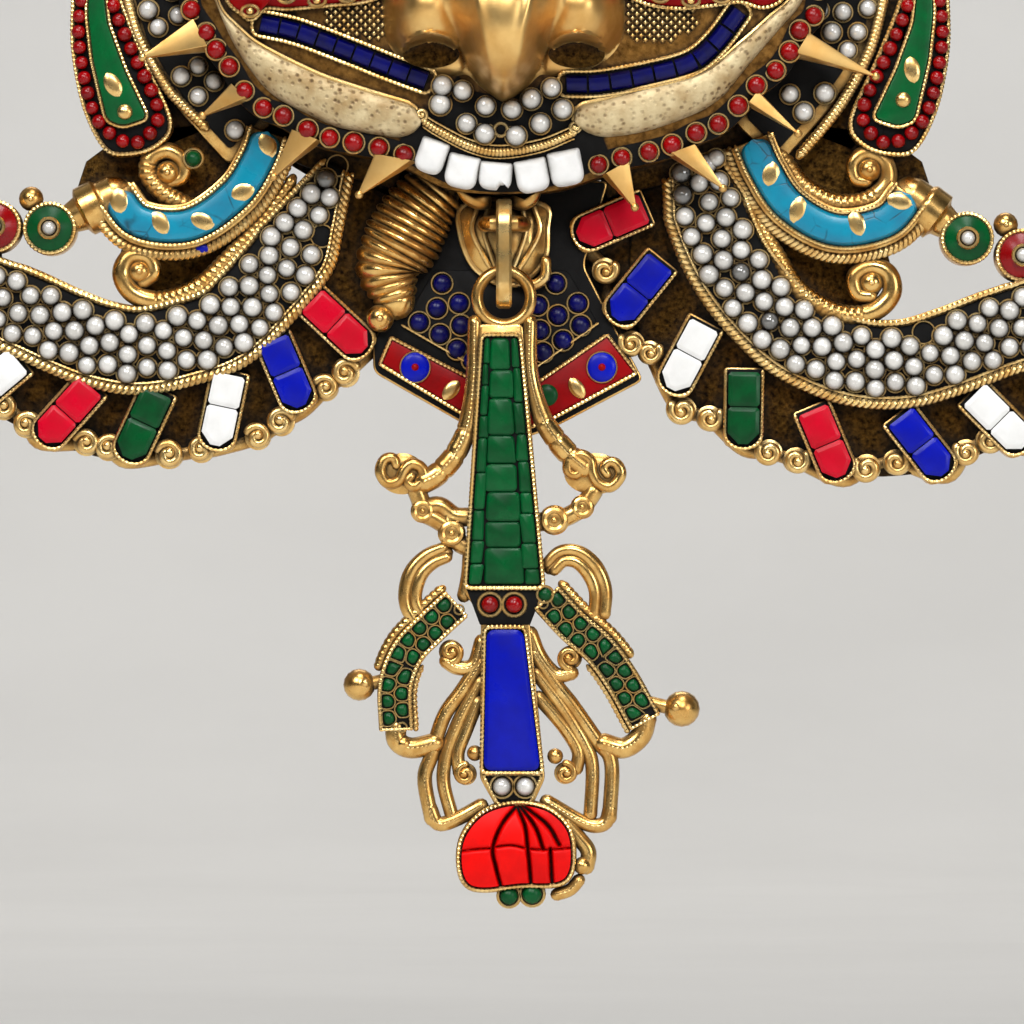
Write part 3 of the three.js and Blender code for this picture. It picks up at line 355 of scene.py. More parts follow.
# Chin fan and the ribbed horn beside it.
CHIN_EDGE = [
    (-21, -2), (-17, -19), (-26.4, -34), (-26.2, -40.4), (-7, -51.4), (0, -55), (9.8, -51.6), (28, -42),
    (22.6, -32), (16, -19), (21, -2),
]
CHIN_FIELD = [(-14, -20), (-20.4, -31), (-5.4, -39.6), (0, -41), (5.6, -40), (18.8, -30.6), (12.8, -20)]
CHIN_ENAMEL = [
    (-22.4, -34), (-5.8, -42.6), (0, -44.4), (6.6, -43), (20.6, -33.4), (26, -40.4), (9.4, -49.4),
    (0, -53), (-6.8, -49.2), (-24.4, -38.6),
]
CHIN_BEADS = [
    (-12.4, -22.6), (-17, -30.4), (-13.4, -27.6), (-9, -26.6), (-8.6, -31), (-12.8, -32.8),
    (-9.4, -35.8), (-6.4, -38), (10.4, -22.6), (6.8, -27), (10.8, -29), (14.8, -26.6), (7.2, -32),
    (15.4, -31), (11.8, -34), (7.8, -36.4),
]
CHIN_OVALS = ((-17.8, -39.4), (19.6, -39.4))
CHIN_LEAVES = ((-10.6, -44, 50), (14.6, -43.6, 125))
CHIN_DOT = (8.6, -45)
CHIN_FACE = 10.2
CHIN_BEAD_DEPTH = 11.1
CHIN_WIRE_DEPTH = 11.2
RIBBED_HORN = [(-13, -3), (-17, -8), (-20.6, -14.4), (-23, -20), (-21.4, -26.4)]
RIBBED_HORN_BALL = (-24.8, -29.6)

# Link and pendant.
PIVOT_HEIGHT = -20.4
PIVOT_DEPTH = 22.0
RING_RADIUS = 5.35
RING_WIRE = 0.95
RING_STOUT = 1.2
LINK_OUTER = 5.4
LINK_INNER = 2.35
LINK_TOP = -5.95
LINK_BOTTOM = -28.0
LINK_SECTION = ((0.0, 1.05), (0.45, 1.55), (1.6, 1.55))
LINK_SLOT_HALF_THICK = 1.1
SEAT_GAP = 0.35
BAR_RADIUS = 1.6
PENDANT_BACK = 19.0
PENDANT_MIDDLE = 21.4
PENDANT_PLATE = 23.2
PENDANT_STONE_BACK = 21.6
PENDANT_BED_BACK = 21.4
PENDANT_BED = 23.5
SCALE_WIRE_DEPTH = 23.4
SCALE_HALF_WIDTH = 2.9
SCALE_PITCH = 3.3
GREEN_PANEL = [(-4, -33.6), (2.8, -33.6), (7.4, -83), (-7.2, -83)]
GREEN_COLUMNS = ((0.0, 0.19), (0.19, 0.78), (0.78, 1.0))
GREEN_TILE_HEIGHTS = (4.2, 7.4)
BLUE_PANEL = [(-3.4, -91.8), (3.8, -91.8), (7.2, -119.8), (-4, -119.8)]
RED_BED = [(-7.4, -83.8), (8, -83.8), (5.2, -90.8), (-4.8, -90.8)]
RED_BEADS = ((-2.8, -86.8), (2, -86.8))
CORNER_GREEN_BEAD = (8.2, -84.8)
PEARL_BED = [(-4.2, -120.6), (7.6, -120.6), (5, -126.6), (-1.2, -126.6)]
PENDANT_PEARLS = ((-0.4, -123), (4.2, -123))
LOTUS_FOOT_BEADS = ((1, -144.8, 1.8), (5.6, -144.4, 2))
SPINE = [
    (-4.9, -31), (3.7, -31), (8.3, -84.4), (5, -89), (8.2, -121.4), (5.6, -127), (-1.6, -127),
    (-4.8, -121.4), (-4.6, -89), (-8, -84.4),
]
LOTUS_EDGE = [
    (2.2, -126.8), (-3.8, -128.6), (-7.6, -133), (-8.4, -138), (-7.2, -142), (-3.8, -143), (3.2, -142.2),
    (10.2, -142), (12.8, -140), (13.2, -135), (12, -131), (8.2, -127.8),
]
LOTUS_MIDDLE = (2.2, -135.0)
SCALE_PATH = {
    "left": [(-9.6, -86.8), (-14.8, -91.6), (-19.2, -96.4), (-21.6, -103), (-21.4, -111.6)],
    "right": [(8.6, -85.6), (13.6, -91), (19.2, -96), (23.6, -102), (28, -110)],
}
LOTUS_SPLITS = (
    [(2.4, -127), (-0.4, -130.5), (-2.2, -135.2), (-1.6, -139), (-0.6, -142.8)],
    [(2.6, -127), (4.2, -131), (4.7, -135.2), (5.1, -139), (5.4, -142.8)],
    [(3.2, -127), (6.2, -131), (7.8, -135.4)],
    [(4, -127), (8.6, -130.6), (11, -134.6)],
    [(9.2, -135.4), (9.4, -139), (9.6, -142.8)],
)
LOTUS_CREASES = (
    [(-8.4, -135.8), (-5.4, -135.4), (-2.2, -135.2)],
    [(-2.2, -135.0), (1.4, -134.6), (4.7, -135.3)],
    [(4.7, -135.3), (8.4, -135.5), (13.4, -135.2)],
)
PANEL_BANDS = (
    [(-5.8, -30.4), (-6, -42), (-7.2, -51), (-9.8, -57), (-13.2, -60.8), (-16, -62.4)],
    [(5.2, -30.4), (5.2, -40.4), (7.4, -49), (10.4, -54), (13.6, -57.6), (16, -59.6)],
)
VOLUTES = (
    [
        (-21.4, -59.2), (-22, -57.6), (-23.8, -58), (-24.6, -60.4), (-23.2, -62.6), (-21, -62.2),
        (-20, -60.2), (-18.4, -58.8), (-16.4, -59.6), (-16, -61.8), (-17.8, -63.4), (-19.2, -62.4),
        (-18.4, -61.2),
    ],
    [
        (15.4, -59.8), (14.4, -61), (12.8, -60.4), (13, -58.2), (15.2, -57), (17.2, -58.2),
        (17.6, -60.6), (18.8, -62.6), (21.2, -63.4), (23.2, -61.2), (22.6, -59), (21, -58.4), (19.8, -59.6),
        (20.6, -61),
    ],
)
VOLUTE_BACKS = ((-20.3, -60.8, 4.7, 4.1), (18.0, -60.8, 6.0, 4.1))
LOWER_CURLS = (
    [(-6.8, -69.4), (-9.8, -69.2), (-12.8, -67.2), (-15.8, -67.6)],
    [(-6.4, -75.6), (-8.8, -74.6), (-10.4, -72), (-13.2, -70), (-15.6, -68.8)],
    [(6.8, -70.4), (10.4, -70), (13.2, -69), (15.8, -67.4)],
    [(-17.6, -63.6), (-16.8, -65.6), (-16.2, -67.6)],
    [(18, -64), (17, -65.6), (15.8, -67.2)],
)
CURL_BALLS = [
    (-16.2, -68.2, 2.4), (-10.2, -69.6, 1.8), (-10.4, -72.6, 2.8), (10, -70, 3), (15.6, -67.4, 2.4),
]
HOOKS = (
    [(-11.6, -76.4), (-14.8, -77.8), (-17.4, -80.4), (-18.6, -84), (-18.4, -87.2), (-16.8, -89.8)],
    [(9.2, -79.4), (11.6, -77.2), (14.8, -77.4), (17.6, -80), (19.2, -84), (19, -88.8)],
)
ELBOW_BALLS = ((-28.8, -102.8, 3.2), (35.4, -107.6, 3.6))
RODS = (
    ([(-4.4, -98), (-8.4, -104), (-12, -109.2), (-14.4, -116.8), (-15.8, -121.6), (-14.4, -129.6)], 1.5),
    ([(-4.6, -102), (-7.6, -107.2), (-10, -112.4), (-11.6, -117.2), (-12, -122.4), (-10.4, -128.8)], 1.4),
    ([(6, -96.4), (10.4, -102.8), (13.6, -106.8), (18.6, -114), (21.4, -118.4), (21, -129.4)], 1.5),
    ([(6.4, -100.4), (11.6, -107.2), (16, -114.4), (17.6, -119.2), (17.2, -128.8)], 1.4),
    ([(-14.8, -127.2), (-13.2, -130.4), (-9.6, -129.6), (-4.4, -126.8)], 1.5),
    ([(21.2, -127.2), (20, -130.4), (16.2, -130.4), (8.4, -126)], 1.5),
    ([(-21.6, -110.8), (-21.2, -114), (-18.4, -115.4), (-13.6, -114.4)], 2.1),
    ([(28.4, -109.2), (27.2, -113), (23.8, -115.4), (19.6, -114.4)], 2.1),
    ([(-4.4, -94), (-6, -98.8), (-9.2, -99.4), (-11.6, -98)], 1.5),
    ([(5.2, -92.4), (7.2, -97.2), (10.4, -100.8), (13.6, -100.4)], 1.5),
    ([(-5.2, -106), (-7.6, -112), (-9.2, -116.4), (-8.8, -120.4)], 1.4),
    ([(6.8, -105.2), (11.8, -111), (14.8, -116), (14.4, -119.6)], 1.4),
    ([(-6.8, -75.6), (-7.2, -81), (-8, -85.2)], 1.4),
    ([(12.4, -130.4), (14.8, -133.2), (16.8, -136), (16.4, -139.2)], 1.6),
    ([(15, -141.6), (13.2, -143.6), (10.4, -144.6)], 1.3),
)
ROD_CURLS = (
    (-10.6, -96.2, 2.9, 270, 1), (13.2, -97.4, 2.9, 270, -1),
    (-7.6, -120.6, 2.7, 90, 1), (12.2, -120.4, 2.7, 90, -1),
)
ROD_BALLS = ((-5.8, -116.4, 1.6), (10.2, -117, 1.6), (15.6, -138.8, 1.8), (-20, -114.6, 1.8))

# Roundness of beads.
BALL_ROWS = 9
BALL_SIDES = 16

# Stage, in metres and watts: floor, soft lights as name, place, target, size and power, and camera.
FLOOR_HEIGHT = -0.34
FLOOR_NEAR = -5.0
FLOOR_HALF_WIDTH = 6
SWEEP_START = 2.8
SWEEP_RADIUS = 1.6
SWEEP_TOP = 5.0
MASK_MIDDLE = (0, -0.01, -0.12)
LIGHTS = (
    ("key_light", (-0.6, -1.1, 0.8), MASK_MIDDLE, 0.6, 13),
    ("front_light", (0.2, -1.45, 0.8), MASK_MIDDLE, 0.4, 12),
    ("fill_light", (1.0, -1.0, 0.1), MASK_MIDDLE, 0.5, 4.5),
    ("top_light", (0.1, -0.4, 1.0), MASK_MIDDLE, 0.4, 6),
    ("backdrop_light", (0, 2.3, 2.4), (0, 4.2, -0.2), 1.8, 60),
)
VIEW_X = 0.0016
VIEW_HEIGHT = -0.1424
VIEW_WIDTH = 0.2048
VIEW_DISTANCE = 1.7
VIEW_PLANE = -0.014
SENSOR = 36.0


def place(points):
    """Drawing millimetres to the frame's metres."""
    p = np.asarray(points, float)
    return np.stack([p[:, 0], -p[:, 2], p[:, 1] - HANG_HEIGHT], 1) * METRE


def face_depth(x, z):
    """Depth of the face's domed front."""
    inside = 1 - (x / FACE_HALF_WIDTH) ** 2 - ((z - FACE_MIDDLE) / FACE_HALF_HEIGHT) ** 2
    return FACE_RIM_DEPTH + FACE_RISE * np.sqrt(np.maximum(0, inside))


def on_face(points, lift):
    """Flat points laid on the face, raised by lift."""
    p = np.asarray(points, float)
    return np.column_stack([p, face_depth(p[:, 0], p[:, 1]) + lift])


def at_depth(points, depth):
    """Flat points at one depth."""
    p = np.asarray(points, float)
    return np.column_stack([p, np.full(len(p), float(depth))])


def mirrored(points, sign):
    p = np.asarray(points, float).copy()
    p[:, 0] *= sign
    return p


def both_halves(edge):
    """A right half outline, closed by its mirror."""
    p = np.asarray(edge, float)
    return np.vstack([p, mirrored(p[1:-1][::-1], -1)])


def smooth(points, closed=False, per_span=10):
    """A flowing line through a few points."""
    p = np.asarray(points, float)
    if closed:
        guides = np.vstack([p[-1], p, p[0], p[1]])
    else:
        guides = np.vstack([2 * p[0] - p[1], p, 2 * p[-1] - p[-2]])
    t = (np.arange(per_span) / per_span)[:, None]
    spans = []
    for a, b, c, d in zip(guides, guides[1:], guides[2:], guides[3:]):
        curve = 2 * b + (c - a) * t + (2 * a - 5 * b + 4 * c - d) * t ** 2 + (3 * b - a - 3 * c + d) * t ** 3
        spans.append(curve / 2)
    if not closed:
        spans.append(p[-1:])
    return np.vstack(spans)


def spaced(line, step, closed=False):
    """The same line with its points about step apart."""
    p = np.vstack([line, line[:1]]) if closed else np.asarray(line, float)
    reach = np.concatenate([[0], np.cumsum(np.linalg.norm(np.diff(p, axis=0), axis=1))])
    count = max(3, int(round(reach[-1] / step)))
    marks = np.linspace(0, reach[-1], count + 1)
    if closed:
        marks = marks[:-1]
    return np.stack([np.interp(marks, reach, p[:, k]) for k in range(p.shape[1])], 1)


def flowing(points, step=1.2, closed=False):
    return spaced(smooth(points, closed), step, closed)


def unit(vectors):
    return vectors / np.maximum(np.linalg.norm(vectors, axis=-1, keepdims=True), 1e-9)


def walk(points, step=1.5):
    """A flowing flat line, its left hand direction at each point and the share of the way."""
    line = flowing(points, step)
    way = unit(np.gradient(line, axis=0))
    return line, np.stack([-way[:, 1], way[:, 0]], 1), np.linspace(0, 1, len(line))


def beside(points, reach, step=1.5):
    """The flowing line moved to its left by reach, a number or a rule by share."""
    line, side, share = walk(points, step)
    amount = reach(share) if callable(reach) else np.full(len(share), float(reach))
    return line + side * amount[:, None]


def strip(points, left, right, step=1.5):
    """Closed outline of a strip along a line."""
    turned = (lambda share: -right(share)) if callable(right) else -right
    return np.vstack([beside(points, left, step), beside(points, turned, step)[::-1]])


def grow(outline, distance):
    """Moves each side of a closed outline outward."""
    p = np.asarray(outline, float)
    following = np.roll(p, -1, axis=0)
    area = np.sum(p[:, 0] * following[:, 1] - following[:, 0] * p[:, 1])
    turn = distance if area > 0 else -distance
    after = unit(np.stack([following[:, 1] - p[:, 1], p[:, 0] - following[:, 0]], 1))
    before = np.roll(after, 1, axis=0)
    opening = np.maximum(0.5, 1 + np.sum(before * after, axis=1, keepdims=True))
    return p + turn * (before + after) / opening


def rounded(outline, radius, steps=4):
    """A closed outline with its corners rounded off, by one radius or one for each corner."""
    p = np.asarray(outline, float)
    radii = np.broadcast_to(np.asarray(radius, float), (len(p),))
    t = np.linspace(0, 1, steps + 1)[:, None]
    corners = []
    for a, b, c, size in zip(np.roll(p, 1, axis=0), p, np.roll(p, -1, axis=0), radii):
        start = b + (a - b) * min(0.48, size / max(1e-9, np.linalg.norm(a - b)))
        end = b + (c - b) * min(0.48, size / max(1e-9, np.linalg.norm(c - b)))
        corners.append((1 - t) ** 2 * start + 2 * t * (1 - t) * b + t ** 2 * end)
    return np.vstack(corners)


def circle(x, z, radius, sides=24):
    angle = np.linspace(0, 2 * math.pi, sides, endpoint=False)
    return np.stack([x + radius * np.cos(angle), z + radius * np.sin(angle)], 1)


def ellipse(x, z, wide, high, sides=40):
    return (circle(0, 0, 1, sides) * (wide, high)) + (x, z)


def box_outline(x, z, width, height, degrees):
    """A tilted rectangle."""
    angle = math.radians(degrees)
    corners = np.array([(-1, -1), (1, -1), (1, 1), (-1, 1)]) * (width / 2, height / 2)
    turn = np.array([(math.cos(angle), math.sin(angle)), (-math.sin(angle), math.cos(angle))])
    return corners @ turn + (x, z)


class Shells:
    """Closed shells gathered into one piece."""

    def __init__(self):
        self.points = []
        self.faces = []
        self.total = 0

    def add(self, points, faces):
        self.points.append(np.asarray(points, float))
        self.faces.extend((np.asarray(faces) + self.total).tolist())
        self.total += len(points)

    def cap(self, face, start):
        self.faces.append([index + start for index in face])


def skin(shells, rings, loop=False):
    """Skins equal closed rings one after the next, then closes the ends or joins last to first."""
    rings = np.asarray(rings, float)
    layers, count = rings.shape[:2]
    start = shells.total
    here = np.arange(count)
    beyond = (here + 1) % count
    faces = []
    for i in range(layers if loop else layers - 1):
        low, high = i * count, (i + 1) % layers * count
        faces.append(np.stack([low + here, low + beyond, high + beyond, high + here], 1))
    shells.add(rings.reshape(-1, 3), np.vstack(faces))
    if not loop:
        shells.cap(range(count - 1, -1, -1), start)
        shells.cap(range((layers - 1) * count, layers * count), start)


def tube(shells, path, radius, sides=10, loop=False, swell=None, flat=1.0):
    """A wire along a path of x, height and depth, with rounded ends. swell shapes it by length and angle."""
    p = np.asarray(path, float)
    if loop:
        way = unit(np.roll(p, -1, axis=0) - np.roll(p, 1, axis=0))
    else:
        way = unit(np.gradient(p, axis=0))
    side = unit(np.cross(way, (0.0, 0.0, 1.0)))
    rise = np.cross(side, way)
    reach = np.concatenate([[0], np.cumsum(np.linalg.norm(np.diff(p, axis=0), axis=1))])
    size = np.broadcast_to(np.asarray(radius, float), (len(p),))
    angle = np.linspace(0, 2 * math.pi, sides, endpoint=False)
    shape = size[:, None] * np.ones(sides)
    if swell is not None:
        shape = shape * swell(reach[:, None], angle[None, :])
    across = np.cos(angle) * shape
    outward = np.sin(angle) * shape * flat
    rings = p[:, None] + side[:, None] * across[..., None] + rise[:, None] * outward[..., None]
    if not loop:
        rings = np.concatenate([round_end(rings[0], p[0], -way[0] * size[0]), rings,
                                round_end(rings[-1], p[-1], way[-1] * size[-1])[::-1]])
    skin(shells, rings, loop)


def round_end(ring, middle, outward):
    """Two shrinking rings that round off the end of a wire, the outermost first."""
    return np.stack([middle + (ring - middle) * 0.3 + outward * 0.85,
                     middle + (ring - middle) * 0.75 + outward * 0.55])


def rope(shells, path, radius, pitch=1.7):
    """Two strands wound round each other."""
    line = spaced(path, pitch / 5)
    way = unit(np.gradient(line, axis=0))
    side = unit(np.cross(way, (0.0, 0.0, 1.0)))
    reach = np.concatenate([[0], np.cumsum(np.linalg.norm(np.diff(line, axis=0), axis=1))])
    for start in (0, math.pi):
        angle = (start + math.pi * reach / pitch)[:, None]
        wound = side * np.cos(angle) + np.array((0.0, 0.0, 1.0)) * np.sin(angle)
        tube(shells, line + wound * radius * 0.48, radius * 0.54, 7)


def milled(shells, path, radius, pitch=0.9, loop=False):
    """A wire rolled into a row of grains."""
    line = spaced(path, pitch / 4, loop)

    def grains(reach, angle):
        return 0.66 + 0.34 * np.abs(np.sin(math.pi * reach / pitch)) + 0 * angle
    tube(shells, line, radius, 7, loop, grains)


def ribbed(shells, path, radius, pitch=1.3, depth=0.1, sides=12, flat=1.0, plain_from=2.0):
    """A tapering stem with ribs across it up to a share of its length. radius runs from first to last."""
    line = spaced(path, pitch / 5)
    size = np.interp(np.linspace(0, 1, len(line)), np.linspace(0, 1, len(radius)), radius)

    def ribs(reach, angle):
        groove = (1 - np.abs(np.sin(math.pi * reach / pitch)) ** 0.5) * (reach < reach.max() * plain_from)
        return 1 - depth * 1.6 * groove + 0 * angle
    tube(shells, line, size, sides, False, ribs, flat)


def slab(shells, outline, back, front, bevel=0.4):
    """A plate with eased front edges."""
    edge = np.asarray(outline, float)
    skin(shells, [
        at_depth(edge, back),
        at_depth(edge, front - bevel),
        at_depth(grow(edge, -bevel * 0.3), front - bevel * 0.3),
        at_depth(grow(edge, -bevel), front),
    ])


def cut_stone(shells, corners, radius, back, front, bevel, drop, steps=3):
    """A stone with eased corners and a sloping bevel round its flat face. drop is the bevel's fall."""
    def ring(inset, depth):
        eased = np.maximum(0.1, np.asarray(radius, float) - inset * 0.5)
        return at_depth(rounded(grow(corners, -inset), eased, steps), depth)
    skin(shells, [
        ring(0, back),
        ring(0, front - drop),
        ring(bevel * 0.94, front - drop * 0.06),
        ring(bevel * 1.06, front),
    ])


def mound(shells, outline, centre, back, front, rings=8):
    """A raised form over an outline, its front depth worked out by x, height and share from the centre."""
    edge = np.asarray(outline, float)
    middle = np.asarray(centre, float)
    layers = []
    for share in np.linspace(0.02, 1, rings + 1):
        flat = middle + (edge - middle) * share
        layers.append(np.column_stack([flat, front(flat[:, 0], flat[:, 1], share)]))
    layers.append(at_depth(edge, back))
    skin(shells, layers)


def cabochon(shells, outline, back, rim, top, rings=6):
    """A stone with a domed face."""
    edge = np.asarray(outline, float)

    def dome(x, z, share):
        return np.full(len(x), rim + (top - rim) * math.sqrt(max(0, 1 - share ** 2)))
    mound(shells, edge, edge.mean(axis=0), back, dome, rings)


def ribbon(shells, edge_a, edge_b, depth, crown, sink, across=8):
    """A band between two equal lines, raised over a depth rule by a crown rule of the share across."""
    share = np.linspace(0, 1, across)
    rings = []
    for a, b in zip(edge_a, edge_b):
        flat = a + (b - a) * share[:, None]
        low = depth(flat[:, 0], flat[:, 1])
        top = np.column_stack([flat, low + crown(share)])
        under = np.column_stack([flat, low - sink])
        rings.append(np.vstack([top, under[::-1]]))
    skin(shells, rings)


def face_strip(shells, points, half, rise, sink=2.0, step=1.2, across=7, power=2.0):
    """A raised strip along a line on the face. half is a number or a first and last half width."""
    line, side, share = walk(points, step)
    reach = np.interp(share, (0, 1), half) if isinstance(half, tuple) else np.full(len(share), half)
    left, right = line + side * reach[:, None], line - side * reach[:, None]
    ribbon(shells, left, right, face_depth, lambda u: rise * (1 - 0.7 * np.abs(2 * u - 1) ** power), sink,
           across)


def ball(shells, x, z, depth, radius, stretch=1.0):
    """A bead, its poles facing front and back."""
    tilt = np.linspace(0.06, math.pi - 0.06, BALL_ROWS)
    turn = np.linspace(0, 2 * math.pi, BALL_SIDES, endpoint=False)
    flat = np.stack([np.cos(turn), np.sin(turn)], 1)
    rings = [np.column_stack([flat * radius * math.sin(a) + (x, z),
                              np.full(BALL_SIDES, depth - radius * stretch * math.cos(a))]) for a in tilt]
    skin(shells, rings)


def edge_wire(shells, outline, depth, radius, step=0.5):
    """A milled wire round a closed outline."""
    milled(shells, at_depth(spaced(outline, step, True), depth), radius, loop=True)


def collet(shells, x, z, depth, radius, wire=0.32, sides=18):
    """A ring of fine wire round a bead."""
    tube(shells, at_depth(circle(x, z, radius, sides), depth), wire, 6, True)


def leaf(shells, x, z, depth, length, width, degrees, rise=0.4):
    """A small pointed leaf of sheet brass with a low domed face."""
    share = np.linspace(-1, 1, 13)
    belly = width / 2 * (1 - share ** 2) ** 0.62
    near_edge = np.stack([share * length / 2, belly], 1)
    far_edge = np.stack([share * length / 2, -belly], 1)[-2:0:-1]
    edge = np.vstack([near_edge, far_edge])
    angle = math.radians(degrees)
    turn = np.array([(math.cos(angle), math.sin(angle)), (-math.sin(angle), math.cos(angle))])
    cabochon(shells, edge @ turn + (x, z), depth - 1.2, depth, depth + rise, 4)


def curl(shells, x, z, depth, radius, start, sense, back=3.2, turns=1.2):
    """A stout scroll on a solid back, winding in from its rim to a knob at its middle."""
    share = np.linspace(0, 1, 34)
    angle = math.radians(start) + sense * share * turns * 2 * math.pi
    reach = radius * (0.74 - 0.58 * share)
    line = np.stack([x + reach * np.cos(angle), z + reach * np.sin(angle)], 1)
    tube(shells, np.column_stack([line, depth + 0.5 * share]), radius * (0.29 - 0.04 * share), 10)
    ball(shells, *line[-1], depth + 0.5, radius * 0.33)
    backing = circle(x, z, radius * 0.82, 22)
    cabochon(shells, backing, max(back, depth - 6), depth - radius * 0.3, depth - radius * 0.2)


def button(shells, x, z, depth, radius):
    """The round end of a scroll: a flat dome with a raised ring and a grain."""
    rim = circle(x, z, radius, 24)
    cabochon(shells, rim, depth - radius * 0.9, depth + radius * 0.2, depth + radius * 0.55)
    tube(shells, at_depth(circle(x, z, radius * 0.66, 24), depth + radius * 0.42), radius * 0.24, 8, True)
    ball(shells, x, z, depth + radius * 0.45, radius * 0.24)


def spike(shells, base_a, base_b, tip):
    """A spike standing on the jaw's edge: a broad flat face, a narrow one under it and a blunt tip."""
    a, b, point = (np.asarray(p, float) for p in (base_a, base_b, tip))
    middle = (a + b) / 2
    back = unit(middle - point) * 1.6
    level = float(face_depth(*middle)) + 1.4
    low, high = (a, b) if a[1] < b[1] else (b, a)
    ridge = low + (high - low) * 0.16
    section = [
        (high, level + 1.1), (ridge, level + 2.0), (low, level - 0.4), (low, level - 4), (high, level - 4),
    ]
    corners = np.array([(*(at + back), depth) for at, depth in section])
    target = np.array([*point, level - 0.6])
    rings = [soft_corners(corners + (target - corners) * share) for share in np.linspace(0, 0.9, 8)]
    skin(shells, rings)
    ball(shells, *(point + back * 0.55), target[2], 0.85)


def nearest_cells(spots, path, half, step=0.4):
    """The patch of a strip that lies nearest to each spot, as closed outlines."""
    line, way, share = walk(path, step)
    reach = half(share)
    cells = []
    for spot in np.asarray(spots):
        k = np.linalg.norm(line - spot, axis=1).argmin()
        along = np.array((way[k][1], -way[k][0])) * 1.9
        side = way[k] * reach[k]
        cell = [line[k] + way for way in (side + along, along - side, -side - along, side - along)]
        for other in np.asarray(spots):
            if 0 < np.linalg.norm(other - spot) < 9:
                cell = cut_cell(cell, (spot + other) / 2, other - spot)
        cells.append(np.array(cell))
    return cells


def cut_cell(cell, at, outward):
    """What is left of a closed outline behind a straight cut."""
    kept = []
    for a, b in zip(cell, cell[1:] + cell[:1]):
        from_a, from_b = np.dot(a - at, outward), np.dot(b - at, outward)
        if from_a <= 0:
            kept.append(a)
        if from_a * from_b < 0:
            kept.append(a + (b - a) * from_a / (from_a - from_b))
    return kept


def soft_corners(corners):
    """Corners each eased into three points."""
    made = []
    for a, b, c in zip(np.roll(corners, 1, axis=0), corners, np.roll(corners, -1, axis=0)):
        made += [b + (a - b) * 0.08, b + (a + c - 2 * b) * 0.02, b + (c - b) * 0.08]
    return np.array(made)


def add_node(tree, kind, inputs=None, **settings):
    """A shader node with its settings, its inputs linked or filled in."""
    made = tree.nodes.new(kind)
    for name, value in settings.items():
        setattr(made, name, value)
    for key, value in (inputs or {}).items():
        if isinstance(value, bpy.types.NodeSocket):
            tree.links.new(value, made.inputs[key])
        else:
            made.inputs[key].default_value = value
    return made


def mix_colours(tree, share, first, second):
    """A colour between two, by a share."""
    made = tree.nodes.new("ShaderNodeMix")
    made.data_type = "RGBA"
    for socket, value in ((made.inputs[0], share), (made.inputs[6], first), (made.inputs[7], second)):
        if isinstance(value, bpy.types.NodeSocket):
            tree.links.new(value, socket)
        else:
            socket.default_value = value
    return made.outputs[2]


def span(tree, value, from_low, from_high, to_low, to_high):
    """A value carried from one range to another, and held inside it."""
    return add_node(tree, "ShaderNodeMapRange", {
        "Value": value, "From Min": from_low, "From Max": from_high, "To Min": to_low, "To Max": to_high,
    }).outputs["Result"]


def sum_of(tree, first, second, operation="ADD"):
    made = tree.nodes.new("ShaderNodeMath")
    made.operation = operation
    for socket, value in zip(made.inputs, (first, second)):
        if isinstance(value, bpy.types.NodeSocket):
            tree.links.new(value, socket)
        else:
            socket.default_value = value
    return made.outputs[0]


def new_group(name, outputs):
    """An empty effect group with one size input and the outputs named."""
    group = bpy.data.node_groups.new(name, "ShaderNodeTree")
    group.interface.new_socket("Size", in_out="INPUT", socket_type="NodeSocketFloat")
    for output in outputs:
        group.interface.new_socket(output, in_out="OUTPUT", socket_type="NodeSocketFloat")
    return group, group.nodes.new("NodeGroupInput"), group.nodes.new("NodeGroupOutput")


def make_grime_and_shade_group():
    """Dark grime together with painted shade in recesses and gaps between parts, found by ambient occlusion
    and broken up by noise.
    """
    group, given, result = new_group("grime_and_painted_shade", ("Grime_and_shade",))
    where = add_node(group, "ShaderNodeTexCoord").outputs["Object"]
    cover = add_node(group, "ShaderNodeAmbientOcclusion", {"Distance": 0.0035}, samples=6)
    patches = add_node(group, "ShaderNodeTexNoise", {
        "Vector": where, "Scale": given.outputs["Size"], "Detail": 3.0, "Roughness": 0.6})
    # Painted shade: darker wherever ambient occlusion finds a recess or a neighbouring part.
    shade = span(group, cover.outputs["AO"], 0.28, 0.86, 1.0, 0.0)
    broken = span(group, patches.outputs[0], 0.3, 0.7, 0.7, 1.25)
    grime_and_shade = sum_of(group, shade, broken, "MULTIPLY")
    held = span(group, grime_and_shade, 0.0, 1.0, 0.0, 1.0)
    group.links.new(held, result.inputs["Grime_and_shade"])
    return group


def make_drift_group():
    """Slow clouds of tone, fine specks and a gently uneven surface."""
    group, given, result = new_group("tone_drift", ("Cloud", "Speck", "Height"))
    where = add_node(group, "ShaderNodeTexCoord").outputs["Object"]
    cloud = add_node(group, "ShaderNodeTexNoise", {
        "Vector": where, "Scale": given.outputs["Size"], "Detail": 4.0, "Roughness": 0.55})
    fine = sum_of(group, given.outputs["Size"], 7.0, "MULTIPLY")
    speck = add_node(group, "ShaderNodeTexNoise", {"Vector": where, "Scale": fine, "Detail": 2.0})
    group.links.new(span(group, cloud.outputs[0], 0.32, 0.68, 0.0, 1.0), result.inputs["Cloud"])
    group.links.new(span(group, speck.outputs[0], 0.55, 0.75, 0.0, 1.0), result.inputs["Speck"])
    both = sum_of(group, cloud.outputs[0], sum_of(group, speck.outputs[0], 0.25, "MULTIPLY"))
    group.links.new(both, result.inputs["Height"])
    return group


GRIME_AND_SHADE = make_grime_and_shade_group()
DRIFT = make_drift_group()


def use_group(tree, group, size):
    made = tree.nodes.new("ShaderNodeGroup")
    made.node_tree = group
    made.inputs["Size"].default_value = size
    return made.outputs


def linear(red, green, blue):
    """A colour as seen, turned to the linear value that shaders take."""
    def channel(value):
        share = value / 255
        return share / 12.92 if share <= 0.04045 else ((share + 0.055) / 1.055) ** 2.4
    return (channel(red), channel(green), channel(blue), 1.0)


